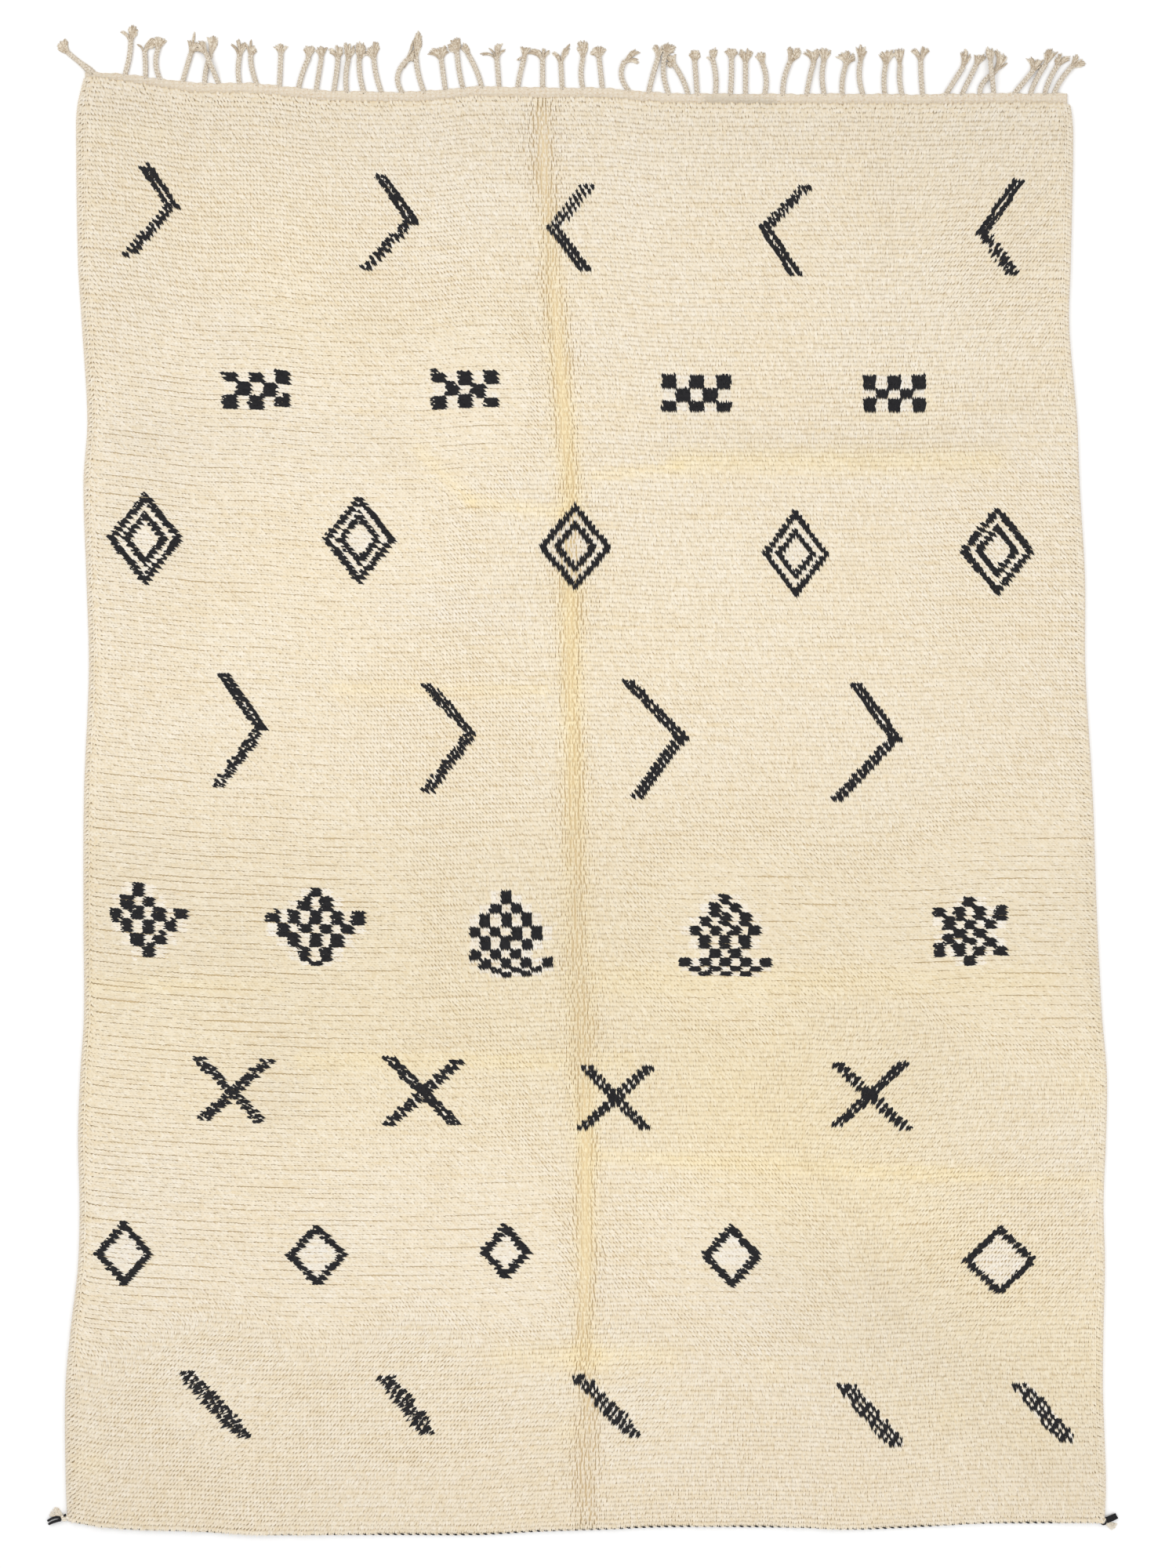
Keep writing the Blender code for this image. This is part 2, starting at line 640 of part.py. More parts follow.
def build_rug():
    for old in list(bpy.data.objects):
        bpy.data.objects.remove(old, do_unlink=True)
    field_wool = wool("cream_pile_wool", (0.81, 0.71, 0.53), 0.95)
    warp_wool = wool("undyed_warp_wool", (0.72, 0.62, 0.47), 0.9)
    binding_wool = wool("overcast_binding_wool", (0.74, 0.63, 0.46), 0.9)
    charcoal_wool = wool("charcoal_wool", (0.02, 0.019, 0.018), 0.9)
    columns = field_columns()
    cord_in = CORD_RADIUS - CORD_OUT
    left_cord_end = Vector((CORD_LEFT - NECK_GAP, hem_edge(CORD_LEFT) + cord_in))
    right_cord_end = Vector((CORD_RIGHT + NECK_GAP, hem_edge(CORD_RIGHT) + cord_in))
    pieces = [
        knotted_field(field_wool),
        fringe_band(warp_wool),
        twined_cord(charcoal_wool),
        selvedge("selvedge_left", columns[0], -1, binding_wool),
        selvedge("selvedge_right", columns[-1], 1, binding_wool),
        corner_tassel("corner_tassel_left", LEFT_CORNER, left_cord_end, charcoal_wool),
        corner_tassel("corner_tassel_right", RIGHT_CORNER, right_cord_end, charcoal_wool),
    ]
    centre_on_floor(pieces)


build_rug()
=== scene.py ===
"""Looks of the beni ourain rug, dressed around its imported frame.

Every knot of the pile leaves two leaning yarn ends, cream or charcoal, on a woven ground. Round it come the
flat-woven strip with its plaited warps and their cut tufts, the overcast selvedges, the twined cord under
the hem and the two corner tassels. The tables are the CAD's own, in millimetres from the middle of the rug:
x to the right, y towards the plaited fringe, z up from the floor.
"""

from collections import namedtuple
from math import cos, pi, radians, sin

import bmesh
import bpy
import numpy as np
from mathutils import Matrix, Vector


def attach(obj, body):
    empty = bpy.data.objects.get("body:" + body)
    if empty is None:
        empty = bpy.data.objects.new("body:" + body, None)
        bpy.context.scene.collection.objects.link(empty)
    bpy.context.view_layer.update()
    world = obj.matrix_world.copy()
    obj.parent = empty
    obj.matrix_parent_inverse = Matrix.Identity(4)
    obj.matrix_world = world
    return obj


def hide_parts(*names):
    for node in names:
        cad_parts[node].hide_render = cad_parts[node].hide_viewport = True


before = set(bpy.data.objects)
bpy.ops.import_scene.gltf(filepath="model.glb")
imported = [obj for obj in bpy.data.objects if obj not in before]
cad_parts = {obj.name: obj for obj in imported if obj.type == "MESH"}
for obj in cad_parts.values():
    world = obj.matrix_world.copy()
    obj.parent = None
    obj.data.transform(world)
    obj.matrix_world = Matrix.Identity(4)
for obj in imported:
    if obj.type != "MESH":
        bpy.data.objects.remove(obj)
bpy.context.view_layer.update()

MM = 0.001
FRAME_SHIFT = (-0.2, 0.76, 0.0)    # the CAD moves its tables by this to centre the rug's box


def named_rows(fields, rows, **options):
    """A table whose columns have names."""
    row_of = namedtuple("Row", fields, **options)
    return [row_of(*row) for row in rows]


# --- the CAD's tables ----------------------------------------------------------------------------------

# The long edges: y, and x of the left and of the right one.
LONG_EDGES = (
    (-1541, -1050, 1068), (-1439, -1055, 1072), (-1247, -1056, 1066), (-1119, -1045, 1067),
    (-991, -1030, 1070), (-863, -1027, 1067), (-735, -1030, 1072), (-607, -1026, 1074),
    (-479, -1018, 1064), (-287, -1019, 1054), (-31, -1018, 1045), (225, -1008, 1030), (416, -1013, 1029),
    (608, -1019, 1018), (736, -1011, 1013), (928, -1022, 997), (1056, -1030, 1000), (1312, -1034, 1005),
    (1376, -1032, 1000), (1450, -1015, 978),
)
# The short edges: x, and y of the top and of the bottom one.
SHORT_EDGES = (
    (-1056, 1451, -1511), (-979, 1448, -1524), (-915, 1442, -1529), (-851, 1434, -1531),
    (-787, 1427, -1533), (-659, 1425, -1540), (-531, 1412, -1540), (-339, 1409, -1540),
    (-211, 1419, -1540), (-83, 1417, -1533), (45, 1416, -1529), (173, 1406, -1524), (429, 1404, -1525),
    (557, 1404, -1529), (685, 1403, -1524), (813, 1405, -1517), (941, 1405, -1516), (1072, 1403, -1515),
)

PILE_HEIGHT = 14.5
RIM_HEIGHT = 9.8
NAP_FALL = 9.0
UNDERCUT = 7.4
UNDERCUT_HEIGHT = 8.8
PIECE_GAP = 0.3
CURVE_GAP = 0.9

# The centre fold: y and x.
CENTRE_FOLD = (
    (-1545, 10), (-1180, 8), (-755, 8), (-330, -8), (310, -22), (590, -24), (975, -56), (1360, -82),
    (1460, -84),
)
CENTRE_FOLD_DEPTH = 3.2
CENTRE_FOLD_WIDTH = 15.0
# The other folds, as soft lines: x and y of both ends, width and depth.
CREASES = (
    (0, 642, 840, 655, 36, 2.2), (-335, 665, -66, 545, 30, 1.8), (-500, 195, -80, 180, 32, 1.6),
    (-620, -572, -20, -560, 36, 2.2), (-1000, -418, -630, -420, 30, 1.4), (30, -408, 930, -412, 46, 1.8),
    (20, -762, 1030, -812, 32, 1.6), (-160, -1175, 180, -1172, 36, 1.8),
)
SWELL_HEIGHT = 0.5
SWELL_LENGTH_X = 118.0
SWELL_LENGTH_Y = 83.0
SWELL_SKEW = 300.0
RELIEF_FADE = 30.0

SELVEDGE_WIDTH = 11.5
SELVEDGE_HEIGHT = 9.0

CORD_RADIUS = 4.1
CORD_OUT = 1.5
CORD_TWIST = 15.4
CORD_LEFT = -1049.5
CORD_RIGHT = 1060.0

BAND_HEIGHT = 4.6
BAND_WIDTH = 23.0
BAND_WIDTH_AT_LEFT = 15.0
BAND_TAPER_START = -1000.0
BAND_TAPER_END = -760.0

PLAIT_WIDTH = 11.5
CORNER_PLAIT_WIDTH = 18.0
LIFT_TIME = 0.5

# Each plait: x of its root, its sideways bow, the lean and reach of its end, and its lift over a neighbour.
TASSELS = named_rows("x bow lean reach lift", (
    (-1003, 0, -49, 40), (-934, 3, 12, 71), (-892, 1, -2, 55), (-863, -7, -2, 63), (-816, 0, 17, 58),
    (-771, -3, 13, 59), (-743, 0, -25, 61, 7.8), (-700, -3, 1, 57), (-665, -3, -12, 58), (-618, 0, 3, 66),
    (-579, -2, 21, 62), (-543, 0, 11, 66), (-507, 1, 9, 68), (-481, -3, 4, 65), (-446, -3, -9, 67),
    (-410, -3, -15, 69), (-368, -14, 12, 66), (-323, -3, -16, 69), (-279, 0, -9, 65), (-243, -2, -12, 72),
    (-205, 3, -27, 65), (-169, 0, -5, 61), (-131, -1, 14, 61), (-80, 0, 0, 61), (-40, 0, -3, 53),
    (2, -4, 1, 61), (42, 0, -7, 66), (95, -11, -6, 60), (137, -1, 20, 72), (177, -6, -7, 78),
    (217, 3, -29, 60), (236, 0, -5, 67), (273, 4, -6, 71), (304, 1, 2, 74), (335, 0, 0, 65),
    (374, 5, -4, 61), (411, -4, 15, 65), (460, -1, 15, 67), (496, -4, -1, 67), (533, -4, 9, 63),
    (575, -5, -5, 66), (620, -3, 2, 61), (655, -3, -4, 61), (697, -1, -4, 71), (745, 0, 35, 55),
    (778, 0, 29, 59), (814, -9, 34, 46), (843, -1, -8, 62, 7.8), (885, 0, 39, 47), (918, -3, 31, 60),
    (947, -3, 26, 57), (966, -4, 37, 56),
), defaults=(0,))

# The cut tufts, one row for each tassel: each lobe of a tuft as the places that the tips of its locks reach
# (across, out), in millimetres from the plait's end.
TUFTS = (
    (((-12, 0), (-18, 6), (-19, 13), (-14, 20), (-8, 23), (-4, 26), (1, 20)),),
    (((-20, 14), (-17, 17), (-14, 16)), ((-5, 21), (0, 26), (6, 28), (11, 24), (13, 16), (12, 9))),
    (((-16, 12), (-15, 10)), ((3, 10), (6, 14), (11, 20), (16, 23), (20, 22), (21, 12), (20, 4))),
    (((-14, 3), (-15, 16), (-9, 20), (-2, 21), (4, 20), (11, 18), (15, 13), (11, 8)),),
    (((-7, 24), (-1, 24)), ((5, 41), (8, 41)), ((6, 22), (12, 21), (14, 8))),
    (((-8, 31), (-3, 34), (2, 36), (8, 34), (13, 29), (12, 19)),),
    (((-23, 4), (-20, 12), (-18, 20), (-13, 23), (-6, 24), (-2, 24)),),
    (((-18, 20), (-15, 22)), ((-7, 28), (-2, 30)), ((3, 24), (10, 24), (14, 17))),
    (((-12, 23), (-7, 20)), ((-2, 24), (1, 28)), ((5, 20), (11, 14), (13, 7))),
    (((-15, 12), (-10, 15)), ((-6, 17), (-1, 19), (4, 17)), ((9, 14), (13, 12))),
    (((-10, 14), (-8, 20), (-3, 23), (3, 24), (9, 21), (12, 15)),),
    (((-14, 14), (-9, 18), (-4, 21), (1, 21), (7, 19), (11, 18)),),
    (((-16, 8), (-19, 16), (-15, 20)), ((-6, 24), (-3, 23), (3, 20), (8, 19), (10, 8))),
    (((-8, 12), (-9, 22), (-8, 31), (-3, 30)), ((0, 33), (3, 28)), ((8, 24), (11, 27), (12, 14))),
    (((-7, 14), (-6, 30), (-1, 32), (4, 32)), ((8, 29), (11, 24), (13, 8))),
    (((-17, 6), (-16, 14), (-11, 20), (-5, 24)), ((-1, 29), (4, 30), (8, 29), (11, 19))),
    (((-8, -14), (-6, -16)), ((5, 21), (7, 30), (10, 36)), ((14, 22), (14, 6), (11, -4))),
    (((-4, 33), (-1, 41), (5, 50), (8, 48), (11, 36), (11, 22)),),
    (((-24, 6), (-18, 16), (-12, 17), (-6, 18)), ((-3, 20), (1, 19), (6, 23), (11, 22), (15, 10))),
    (((-15, 2), (-18, 14), (-12, 22), (-6, 27), (1, 29), (6, 26), (8, 14)),),
    (((-15, 12), (-13, 18), (-8, 22), (-3, 21), (2, 12)),),
    (((-31, 5), (-30, 3)), ((-15, 16), (-12, 14)), ((-3, 22), (3, 24), (11, 24)), ((18, 16), (15, 10))),
    (((-16, -5), (-14, -7)), ((-8, 19), (0, 20), (7, 18), (12, 18))),
    (((-30, 8), (-23, 17), (-15, 17), (-7, 15)), ((1, 19), (5, 17)), ((13, 14), (13, 8))),
    (((-18, 17), (-12, 20), (-5, 15)), ((6, 24), (11, 26)), ((16, 32), (18, 26), (13, 14))),
    (((-12, 16), (-13, 24), (-7, 31), (2, 32), (9, 28), (9, 18)),),
    (((-16, 2), (-17, 6), (-10, 15), (-2, 18), (8, 17), (14, 11), (9, 3)),),
    (((13, 20), (20, 21), (28, 15)), ((24, 2), (26, -2), (24, -7))),
    (((-12, 16), (-7, 22), (-2, 21)), ((6, 21), (9, 12))),
    (((-4, 18), (5, 23), (12, 21), (20, 15), (17, 5)),),
    (((-20, 15), (-11, 17), (-1, 17), (5, 19)), ((-15, 3), (-11, -6), (-6, -7))),
    (((-12, 12), (-6, 19), (0, 21), (7, 19), (12, 13), (11, 8)),),
    (((-11, 4), (-11, 2)), ((-5, 16), (0, 20), (6, 22), (10, 16), (9, 8))),
    (((-13, 11), (-8, 17), (1, 19), (10, 16), (12, 8)),),
    (((-15, 16), (-8, 24), (-2, 21)), ((4, 25), (9, 23), (14, 19), (12, 12))),
    (((-14, 14), (-7, 22), (3, 24), (6, 18)),),
    (((-6, 26), (-2, 30), (5, 26)), ((10, 27), (17, 27), (22, 19), (17, 9))),
    (((-21, 15), (-12, 22), (-4, 19)), ((-2, 20), (7, 23), (11, 13))),
    (((-12, 22), (-4, 25), (6, 23), (15, 18), (12, 12)),),
    (((-22, 12), (-11, 19), (0, 24), (6, 21)), ((13, 21), (16, 15), (15, 5))),
    (((-9, 27), (0, 31), (9, 27), (12, 19)),),
    (((-14, 19), (-8, 24), (3, 26), (13, 26), (18, 19)),),
    (((-13, 22), (-8, 29), (0, 31), (8, 30)),),
    (((-19, 16), (-11, 21), (-6, 18)), ((4, 24), (12, 22), (19, 18))),
    (((-5, 27), (3, 33), (8, 30)), ((14, 26), (14, 18))),
    (((-4, 19), (4, 20), (14, 19), (19, 13)),),
    (((-3, 37), (1, 40), (6, 36)), ((11, 34), (16, 30), (20, 26)), ((22, 16), (16, 12))),
    (((-9, 20), (-5, 30), (4, 28), (10, 19)),),
    (((-14, 22), (-6, 26), (-1, 21)), ((4, 20), (12, 23), (18, 19)), ((16, 10), (14, 6))),
    (((-3, 20), (2, 27), (12, 28)), ((16, 25), (22, 22))),
    (((-6, 10), (-3, 16)), ((2, 22), (8, 24)), ((13, 18), (24, 18), (22, 10))),
    (((2, 19), (10, 22), (14, 19)), ((19, 14), (26, 3), (16, -2))),
)

# --- the knotting --------------------------------------------------------------------------------------

KNOT_WIDTH = 6.8              # along a row, over two warps
ROW_PITCH = 9.3               # one row of knots and its beaten wefts
FIELD_WIDTH = 2040.0          # mean width and length of the knotted field
FIELD_LENGTH = 2934.0
ENDS_A_ROW = 2 * round(FIELD_WIDTH / KNOT_WIDTH)
ROWS = round(FIELD_LENGTH / ROW_PITCH)
PILE_PIECES = 5               # the cream ends are too many for one mesh
GROUND_DROP = 3.0             # the ground under the nap
PALER_AT_FOLD = 0.2           # its painted shade, the tan of the gaps, is this much paler in the opened fold
GROUND_LIP = 2.6              # its upper edges reach out to the selvedges, and close the groove between
GROUND_HEM_INSET = 1.6
GROUND_ROWS = 110
GROUND_COLUMNS = 80

# --- motifs, charted -----------------------------------------------------------------------------------

# The checkered motifs: top left corner, width of a cell, height of each row of cells, and chart.
OBLONG = (
    "#.#.#",
    ".#.#.",
    "#.#.#",
)
OBLONG_HEIGHTS = (25, 25, 25)
CHECKERS = named_rows("x y cell heights chart", (
    (-726, 834, 26.6, OBLONG_HEIGHTS, OBLONG),
    (-300, 833, 26.6, OBLONG_HEIGHTS, OBLONG),
    (165, 822, 28.0, OBLONG_HEIGHTS, OBLONG),
    (575, 823, 25.2, OBLONG_HEIGHTS, OBLONG),
    (-957, -211, 22.1, (25, 24, 25, 26, 26, 26), (
        "..#....",
        ".#.#...",
        "#.#.#.#",
        ".#.#.#.",
        "..#.#..",
        "...#...",
    )),
    (-637, -217, 21.8, (26, 25, 26, 22, 25, 25, 15), (
        "....#....",
        "...#.#...",
        "#.#.#.#.#",
        ".#.#.#.#.",
        "..#.#.#..",
        "...#.#...",
        "....#....",
    )),
    (-227, -233, 21.0, (24, 19, 27, 23, 23, 19, 17, 12, 9), (
        "...#....",
        "..#.#...",
        ".#.#.#..",
        "#.#.#.#.",
        ".#.#.#..",
        "#.#.#...",
        ".#.#.#.#",
        "..#.#.#.",
        "...#.#..",
    )),
    (205, -232, 20.4, (22, 22, 20, 23, 24, 20, 17, 15, 9), (
        "....#....",
        "...#.#...",
        "..#.#.#..",
        ".#.#.#.#.",
        "..#.#.#..",
        "...#.#...",
        "#.#.#.#.#",
        ".#.#.#.#.",
        "..#.#.#..",
    )),
    (723, -239, 21.0, (21, 22, 20, 17, 17, 22, 22), (
        "...#...",
        "#.#.#.#",
        ".#.#.#.",
        "..#.#..",
        ".#.#.#.",
        "#.#.#.#",
        "...#...",
    )),
))

# The diamonds: middle, half sizes, and the rings that are charcoal, as parts of the way out from the middle.
TWO_RINGS = ((0.43, 0.60), (0.82, 1.0))
DIAMONDS = named_rows("x y half_width half_height rings", (
    (-887, 492, 76, 94, TWO_RINGS),
    (-450, 490, 73, 91, TWO_RINGS),
    (-13, 472, 75, 88, TWO_RINGS),
    (438, 458, 68, 89, TWO_RINGS),
    (851, 465, 74, 91, TWO_RINGS),
    (-930, -966, 58, 68, ((0.74, 1.0),)),
    (-536, -970, 61, 65, ((0.76, 1.0),)),
    (-151, -964, 52, 58, ((0.68, 1.0),)),
    (310, -973, 62, 66, ((0.72, 1.0),)),
    (850, -984, 74, 71, ((0.80, 1.0),)),
))

# The slanting bars, each from its upper to its lower end. Its look is two lines with cream between them, or
# rungs of alternate charcoal and cream ends, or a broad bar of staggered ends.
LINES, RUNGS, BROAD = "lines", "rungs", "broad"
BARS = named_rows("x0 y0 x1 y1 look half_width", (
    (-891, 1252, -830, 1165, LINES), (-833, 1172, -920, 1070, RUNGS),
    (-408, 1230, -341, 1134, LINES), (-344, 1141, -442, 1035, RUNGS),
    (19, 1217, -59, 1119, BROAD, 14), (-59, 1125, 11, 1034, LINES),
    (464, 1214, 374, 1121, RUNGS), (374, 1127, 443, 1022, LINES),
    (893, 1224, 814, 1113, LINES), (814, 1119, 877, 1030, RUNGS),
    (-731, 217, -646, 99, LINES), (-650, 106, -744, -20, RUNGS),
    (-310, 190, -220, 86, RUNGS), (-223, 93, -314, -29, RUNGS),
    (98, 196, 210, 80, LINES), (207, 87, 110, -42, LINES),
    (562, 190, 644, 78, LINES), (641, 84, 523, -42, LINES),
    (-780, -566, -650, -696, RUNGS), (-634, -571, -774, -697, LINES),
    (-388, -571, -253, -705, LINES), (-245, -574, -393, -705, LINES),
    (3, -584, 128, -712, LINES), (146, -584, 2, -714, LINES),
    (515, -579, 661, -716, LINES), (658, -579, 513, -714, LINES),
    (-817, -1204, -695, -1342, BROAD, 20),
    (-406, -1216, -317, -1338, BROAD, 19),
    (-8, -1219, 105, -1341, BROAD, 20),
    (533, -1234, 645, -1362, BROAD, 21),
    (893, -1234, 993, -1352, BROAD, 21),
), defaults=(12.5,))
BAR_GAP = 2.3                 # half the cream between a bar's two lines
RUNG_PITCH = 10.8
RUNG_SHARE = 0.66             # of the pitch that is charcoal
RUNG_SLANT = radians(38.0)    # rungs slant no further than this
BROAD_END = 20.0              # a broad bar widens to its full width over this length at both ends
BROAD_END_PART = 0.6          # from this part of it

# Where the twined cord peeps out under the hem: x, and how much of it shows there.
CORD_SHOWS = (
    (-780, 0), (-762, 0.6), (-745, 0), (-630, 0), (-610, 0.3), (-590, 0), (-490, 0), (-465, 0.3),
    (-430, 0.6), (-400, 0.9), (-170, 1), (-150, 0.7), (-20, 0.6), (0, 0.3), (80, 0.5), (100, 1), (215, 1),
    (235, 0.4), (300, 0.6), (330, 0.9), (395, 1), (410, 0), (440, 0), (465, 0.3), (500, 0), (560, 0),
    (580, 0.4), (610, 1), (700, 1), (735, 0.3), (815, 0.3), (840, 0.5), (875, 0.5), (890, 1), (955, 1),
    (970, 0.2), (1030, 0.3), (1045, 0),
)
HEM_DRAWN_BACK = 5.2          # how far the hem's ends are drawn back where the cord shows whole
HEM_HANGS = 2.6               # and how far they hang over it where it is hidden
HEM_RAGGED = ((0.8, 17.0, 0.0), (0.7, 5.9, 1.0))

# --- how the wool has aged -----------------------------------------------------------------------------

# Warm or, where the strength is below zero, bleached places, as soft lines: x and y of both ends, width and
# strength.
STAINS = (
    (200, 652, 840, 655, 28, 0.75), (29, 622, 200, 640, 12, 0.5), (-504, 186, -78, 184, 14, 0.45),
    (-334, 676, -227, 569, 14, 0.5), (-227, 569, -35, 545, 14, 0.5), (-568, -572, 93, -572, 16, 0.7),
    (-1016, -418, -627, -420, 14, 0.5), (13, -405, 941, -410, 30, 0.5), (13, -764, 1053, -823, 16, 0.45),
    (653, -795, 829, -805, 14, 0.3), (-163, -1175, 178, -1175, 26, 0.45), (-10, -1180, 26, -1180, 30, 0.5),
    (-1000, -350, 1000, -350, 280, 0.6), (-700, 340, 700, 300, 200, 0.1),
    (350, -700, 1000, -1200, 190, 0.6), (-600, -580, 700, -620, 150, 0.25),
    (750, -1280, 1000, -1350, 140, 0.3), (-1000, 1200, -600, 1100, 150, 0.15),
    (-600, 920, -150, 920, 70, 0.2), (380, -860, 600, -1250, 80, 0.15),
    (-250, 1330, 100, 1250, 100, -0.25), (-30, -1330, -18, -1330, 22, 0.4),
    (385, -1202, 399, -1202, 22, 0.35), (744, -1287, 764, -1287, 26, 0.3),
    (-1015, -1394, -996, -1394, 30, 0.4), (-995, 1319, -856, 1319, 26, 0.3),
    (620, 772, 690, 772, 45, 0.25), (1010, -626, 1032, -626, 40, 0.25), (920, -1335, 960, -1335, 45, 0.3),
    (60, -1031, 95, -1031, 60, -0.3), (30, 889, 60, 889, 50, -0.25), (60, 697, 95, 697, 30, -0.2),
    (-387, 345, -131, 345, 45, -0.2),
)
# Greyer places, in the same form: partly dust, and partly painted shade, such as the broad first line, where
# the rug's surface tilts away below a fold across it.
DUST_AND_SHADE = (
    (-1000, -290, 1000, -290, 250, 0.75), (450, -1000, 1000, -1350, 190, 0.7),
    (-600, -560, 700, -620, 150, 0.4), (-640, -650, -600, -650, 60, 0.3),
    (-980, 1300, -900, 500, 180, 0.3), (-700, 920, -150, 920, 70, 0.3), (-900, 697, -400, 697, 70, 0.25),
    (200, 675, 840, 675, 50, 0.35), (261, 1391, 389, 1385, 13, 0.45),
)
FOLD_STAIN_WIDTH = 24.0
FOLD_STAIN_END = -1180.0      # the fold's stain fades below here
FOLD_STAIN_TOP = 1000.0       # and is weaker above here
FOLD_STAIN_AT_TOP = 0.4
FOLD_STAIN_FADE = 90.0
SOIL_AT_HEM = 0.65            # brown from feet, from the hem inwards
SOIL_REACH = 330.0
DUST_AT_STRIP = 0.85
DUST_REACH = 190.0
SHADE_AT_SIDES = 0.36          # painted shade towards both sides: at a metre from the middle, and by the square of the way there
DUST_AND_SHADE_MOST = 1.5

rng = np.random.default_rng(20)


# --- shared shapes -------------------------------------------------------------------------------------

def smooth(at, places, values):
    """Read a table on the same smooth curve through its rows as the CAD does."""
    at, places, values = (np.asarray(v, float) for v in (at, places, values))
    last = len(places) - 1
    i = np.clip(np.searchsorted(places, at, side="right") - 1, 0, last - 1)
    before, after = np.maximum(np.arange(last + 1) - 1, 0), np.minimum(np.arange(last + 1) + 1, last)
    slopes = (values[after] - values[before]) / (places[after] - places[before])
    span = places[i + 1] - places[i]
    t = (at - places[i]) / span
    rise = values[i + 1] - values[i]
    leave, arrive = slopes[i] * span, slopes[i + 1] * span
    return values[i] + t * (leave + t * (3 * rise - 2 * leave - arrive + t * (leave + arrive - 2 * rise)))


def curve_through(places, values):
    """A smooth curve, as a function of the place along it."""
    return lambda at: smooth(at, places, values)


def blend(a, b, part):
    return a + (b - a) * part


def unit(value):
    return np.clip(value, 0.0, 1.0)


def fading(distance, reach):
    return np.exp(-distance / reach)


def bell(away, width):
    return np.exp(-(away / width) ** 2)


def stray(most, shape):
    """A chance difference of up to most, for each of a shape."""
    return rng.uniform(-most, most, shape)


long_y, left_x, right_x = np.transpose(LONG_EDGES)
left_edge, right_edge = curve_through(long_y, left_x), curve_through(long_y, right_x)
short_x, top_y, bottom_y = np.transpose(SHORT_EDGES)
top_edge, hem_edge = curve_through(short_x, top_y), curve_through(short_x, bottom_y)
centre_fold = curve_through(*np.transpose(CENTRE_FOLD))


def band_width(x):
    part = unit((BAND_TAPER_END - x) / (BAND_TAPER_END - BAND_TAPER_START))
    return blend(BAND_WIDTH, BAND_WIDTH_AT_LEFT, part)


def pile_end(x):
    """Where the knotted field stops, short of the woven strip."""
    return top_edge(x) - band_width(x) - CURVE_GAP


PILE_INSET = SELVEDGE_WIDTH + PIECE_GAP
PLACE_ROUNDS = 4              # a place in the field has settled after these


def field_place(across, along):
    """A place in the knotted field: across from the left selvedge to the right, along from hem to strip."""
    x = blend(left_edge(0.0), right_edge(0.0), across) + 0 * along
    for _ in range(PLACE_ROUNDS):
        y = blend(hem_edge(x), pile_end(x), along)
        x = blend(left_edge(y) + PILE_INSET, right_edge(y) - PILE_INSET, across)
    return x, y


def rim_distance(x, y):
    """How far in from the knotted field's nearest edge a place is."""
    sides = np.minimum(x - left_edge(y) - PILE_INSET, right_edge(y) - PILE_INSET - x)
    return np.maximum(np.minimum(sides, np.minimum(y - hem_edge(x), pile_end(x) - y)), 0.0)


def with_soft_lines(total, x, y, lines):
    """Add soft lines to a value. Each is at its full strength between its two ends and falls off over its
    width."""
    for x0, y0, x1, y1, width, strength in lines:
        run_x, run_y = x1 - x0, y1 - y0
        along = unit(((x - x0) * run_x + (y - y0) * run_y) / (run_x ** 2 + run_y ** 2))
        away = np.hypot(x - x0 - along * run_x, y - y0 - along * run_y)
        total = total + strength * bell(away, width)
    return total


def ripple(at, *waves):
    """Unevenness along a line, from waves that each have a height, a length over 2 pi and a phase."""
    return sum(height * np.sin(at / length + phase) for height, length, phase in waves)


def nap_height(x, y):
    """The CAD's own relief: a rim that turns down, low swells and the old folds."""
    distance = rim_distance(x, y)
    creases = with_soft_lines(CENTRE_FOLD_DEPTH * bell(x - centre_fold(y), CENTRE_FOLD_WIDTH), x, y, CREASES)
    swell = SWELL_HEIGHT * np.sin(x / SWELL_LENGTH_X) * np.sin(y / SWELL_LENGTH_Y + x / SWELL_SKEW)
    fallen = (PILE_HEIGHT - RIM_HEIGHT) * fading(distance, NAP_FALL)
    return PILE_HEIGHT - fallen + (swell - creases) * (1.0 - fading(distance, RELIEF_FADE))


def fold_stain(x, y):
    """The yellowed line where the rug was folded in half."""
    above_end = 1.0 / (1.0 + np.exp((FOLD_STAIN_END - y) / FOLD_STAIN_FADE))
    below_top = 1.0 / (1.0 + np.exp((y - FOLD_STAIN_TOP) / FOLD_STAIN_FADE))
    fades = above_end * blend(FOLD_STAIN_AT_TOP, 1.0, below_top)
    return fades * bell(x - centre_fold(y), FOLD_STAIN_WIDTH)


def warmth(x, y):
    """How yellowed the wool is, from below 0, bleached, to a little over 1."""
    return np.clip(with_soft_lines(fold_stain(x, y), x, y, STAINS), -0.4, 1.2)


def soiling(x, y):
    """How browned the wool is towards the hem, where the rug was stepped on to."""
    return unit(SOIL_AT_HEM * fading(y - hem_edge(x), SOIL_REACH))


# Painted shade, darker towards both sides of the rug.
def dust_at_sides(x):
    return SHADE_AT_SIDES * (x * MM) ** 2


def dusting(x, y):
    """How grey the wool is: dust towards the woven strip, painted shade a little towards both sides, and the
    greyer places, partly dust and partly painted shade.
    """
    at_strip = DUST_AT_STRIP * fading(np.maximum(pile_end(x) - y, 0.0), DUST_REACH)
    return np.clip(with_soft_lines(at_strip + dust_at_sides(x), x, y, DUST_AND_SHADE), 0.0, DUST_AND_SHADE_MOST)


# --- meshes and node trees -----------------------------------------------------------------------------

def in_scene(name, data):
    """A new object at the origin."""
    made = bpy.data.objects.new(name, data)
    bpy.context.scene.collection.objects.link(made)
    return made


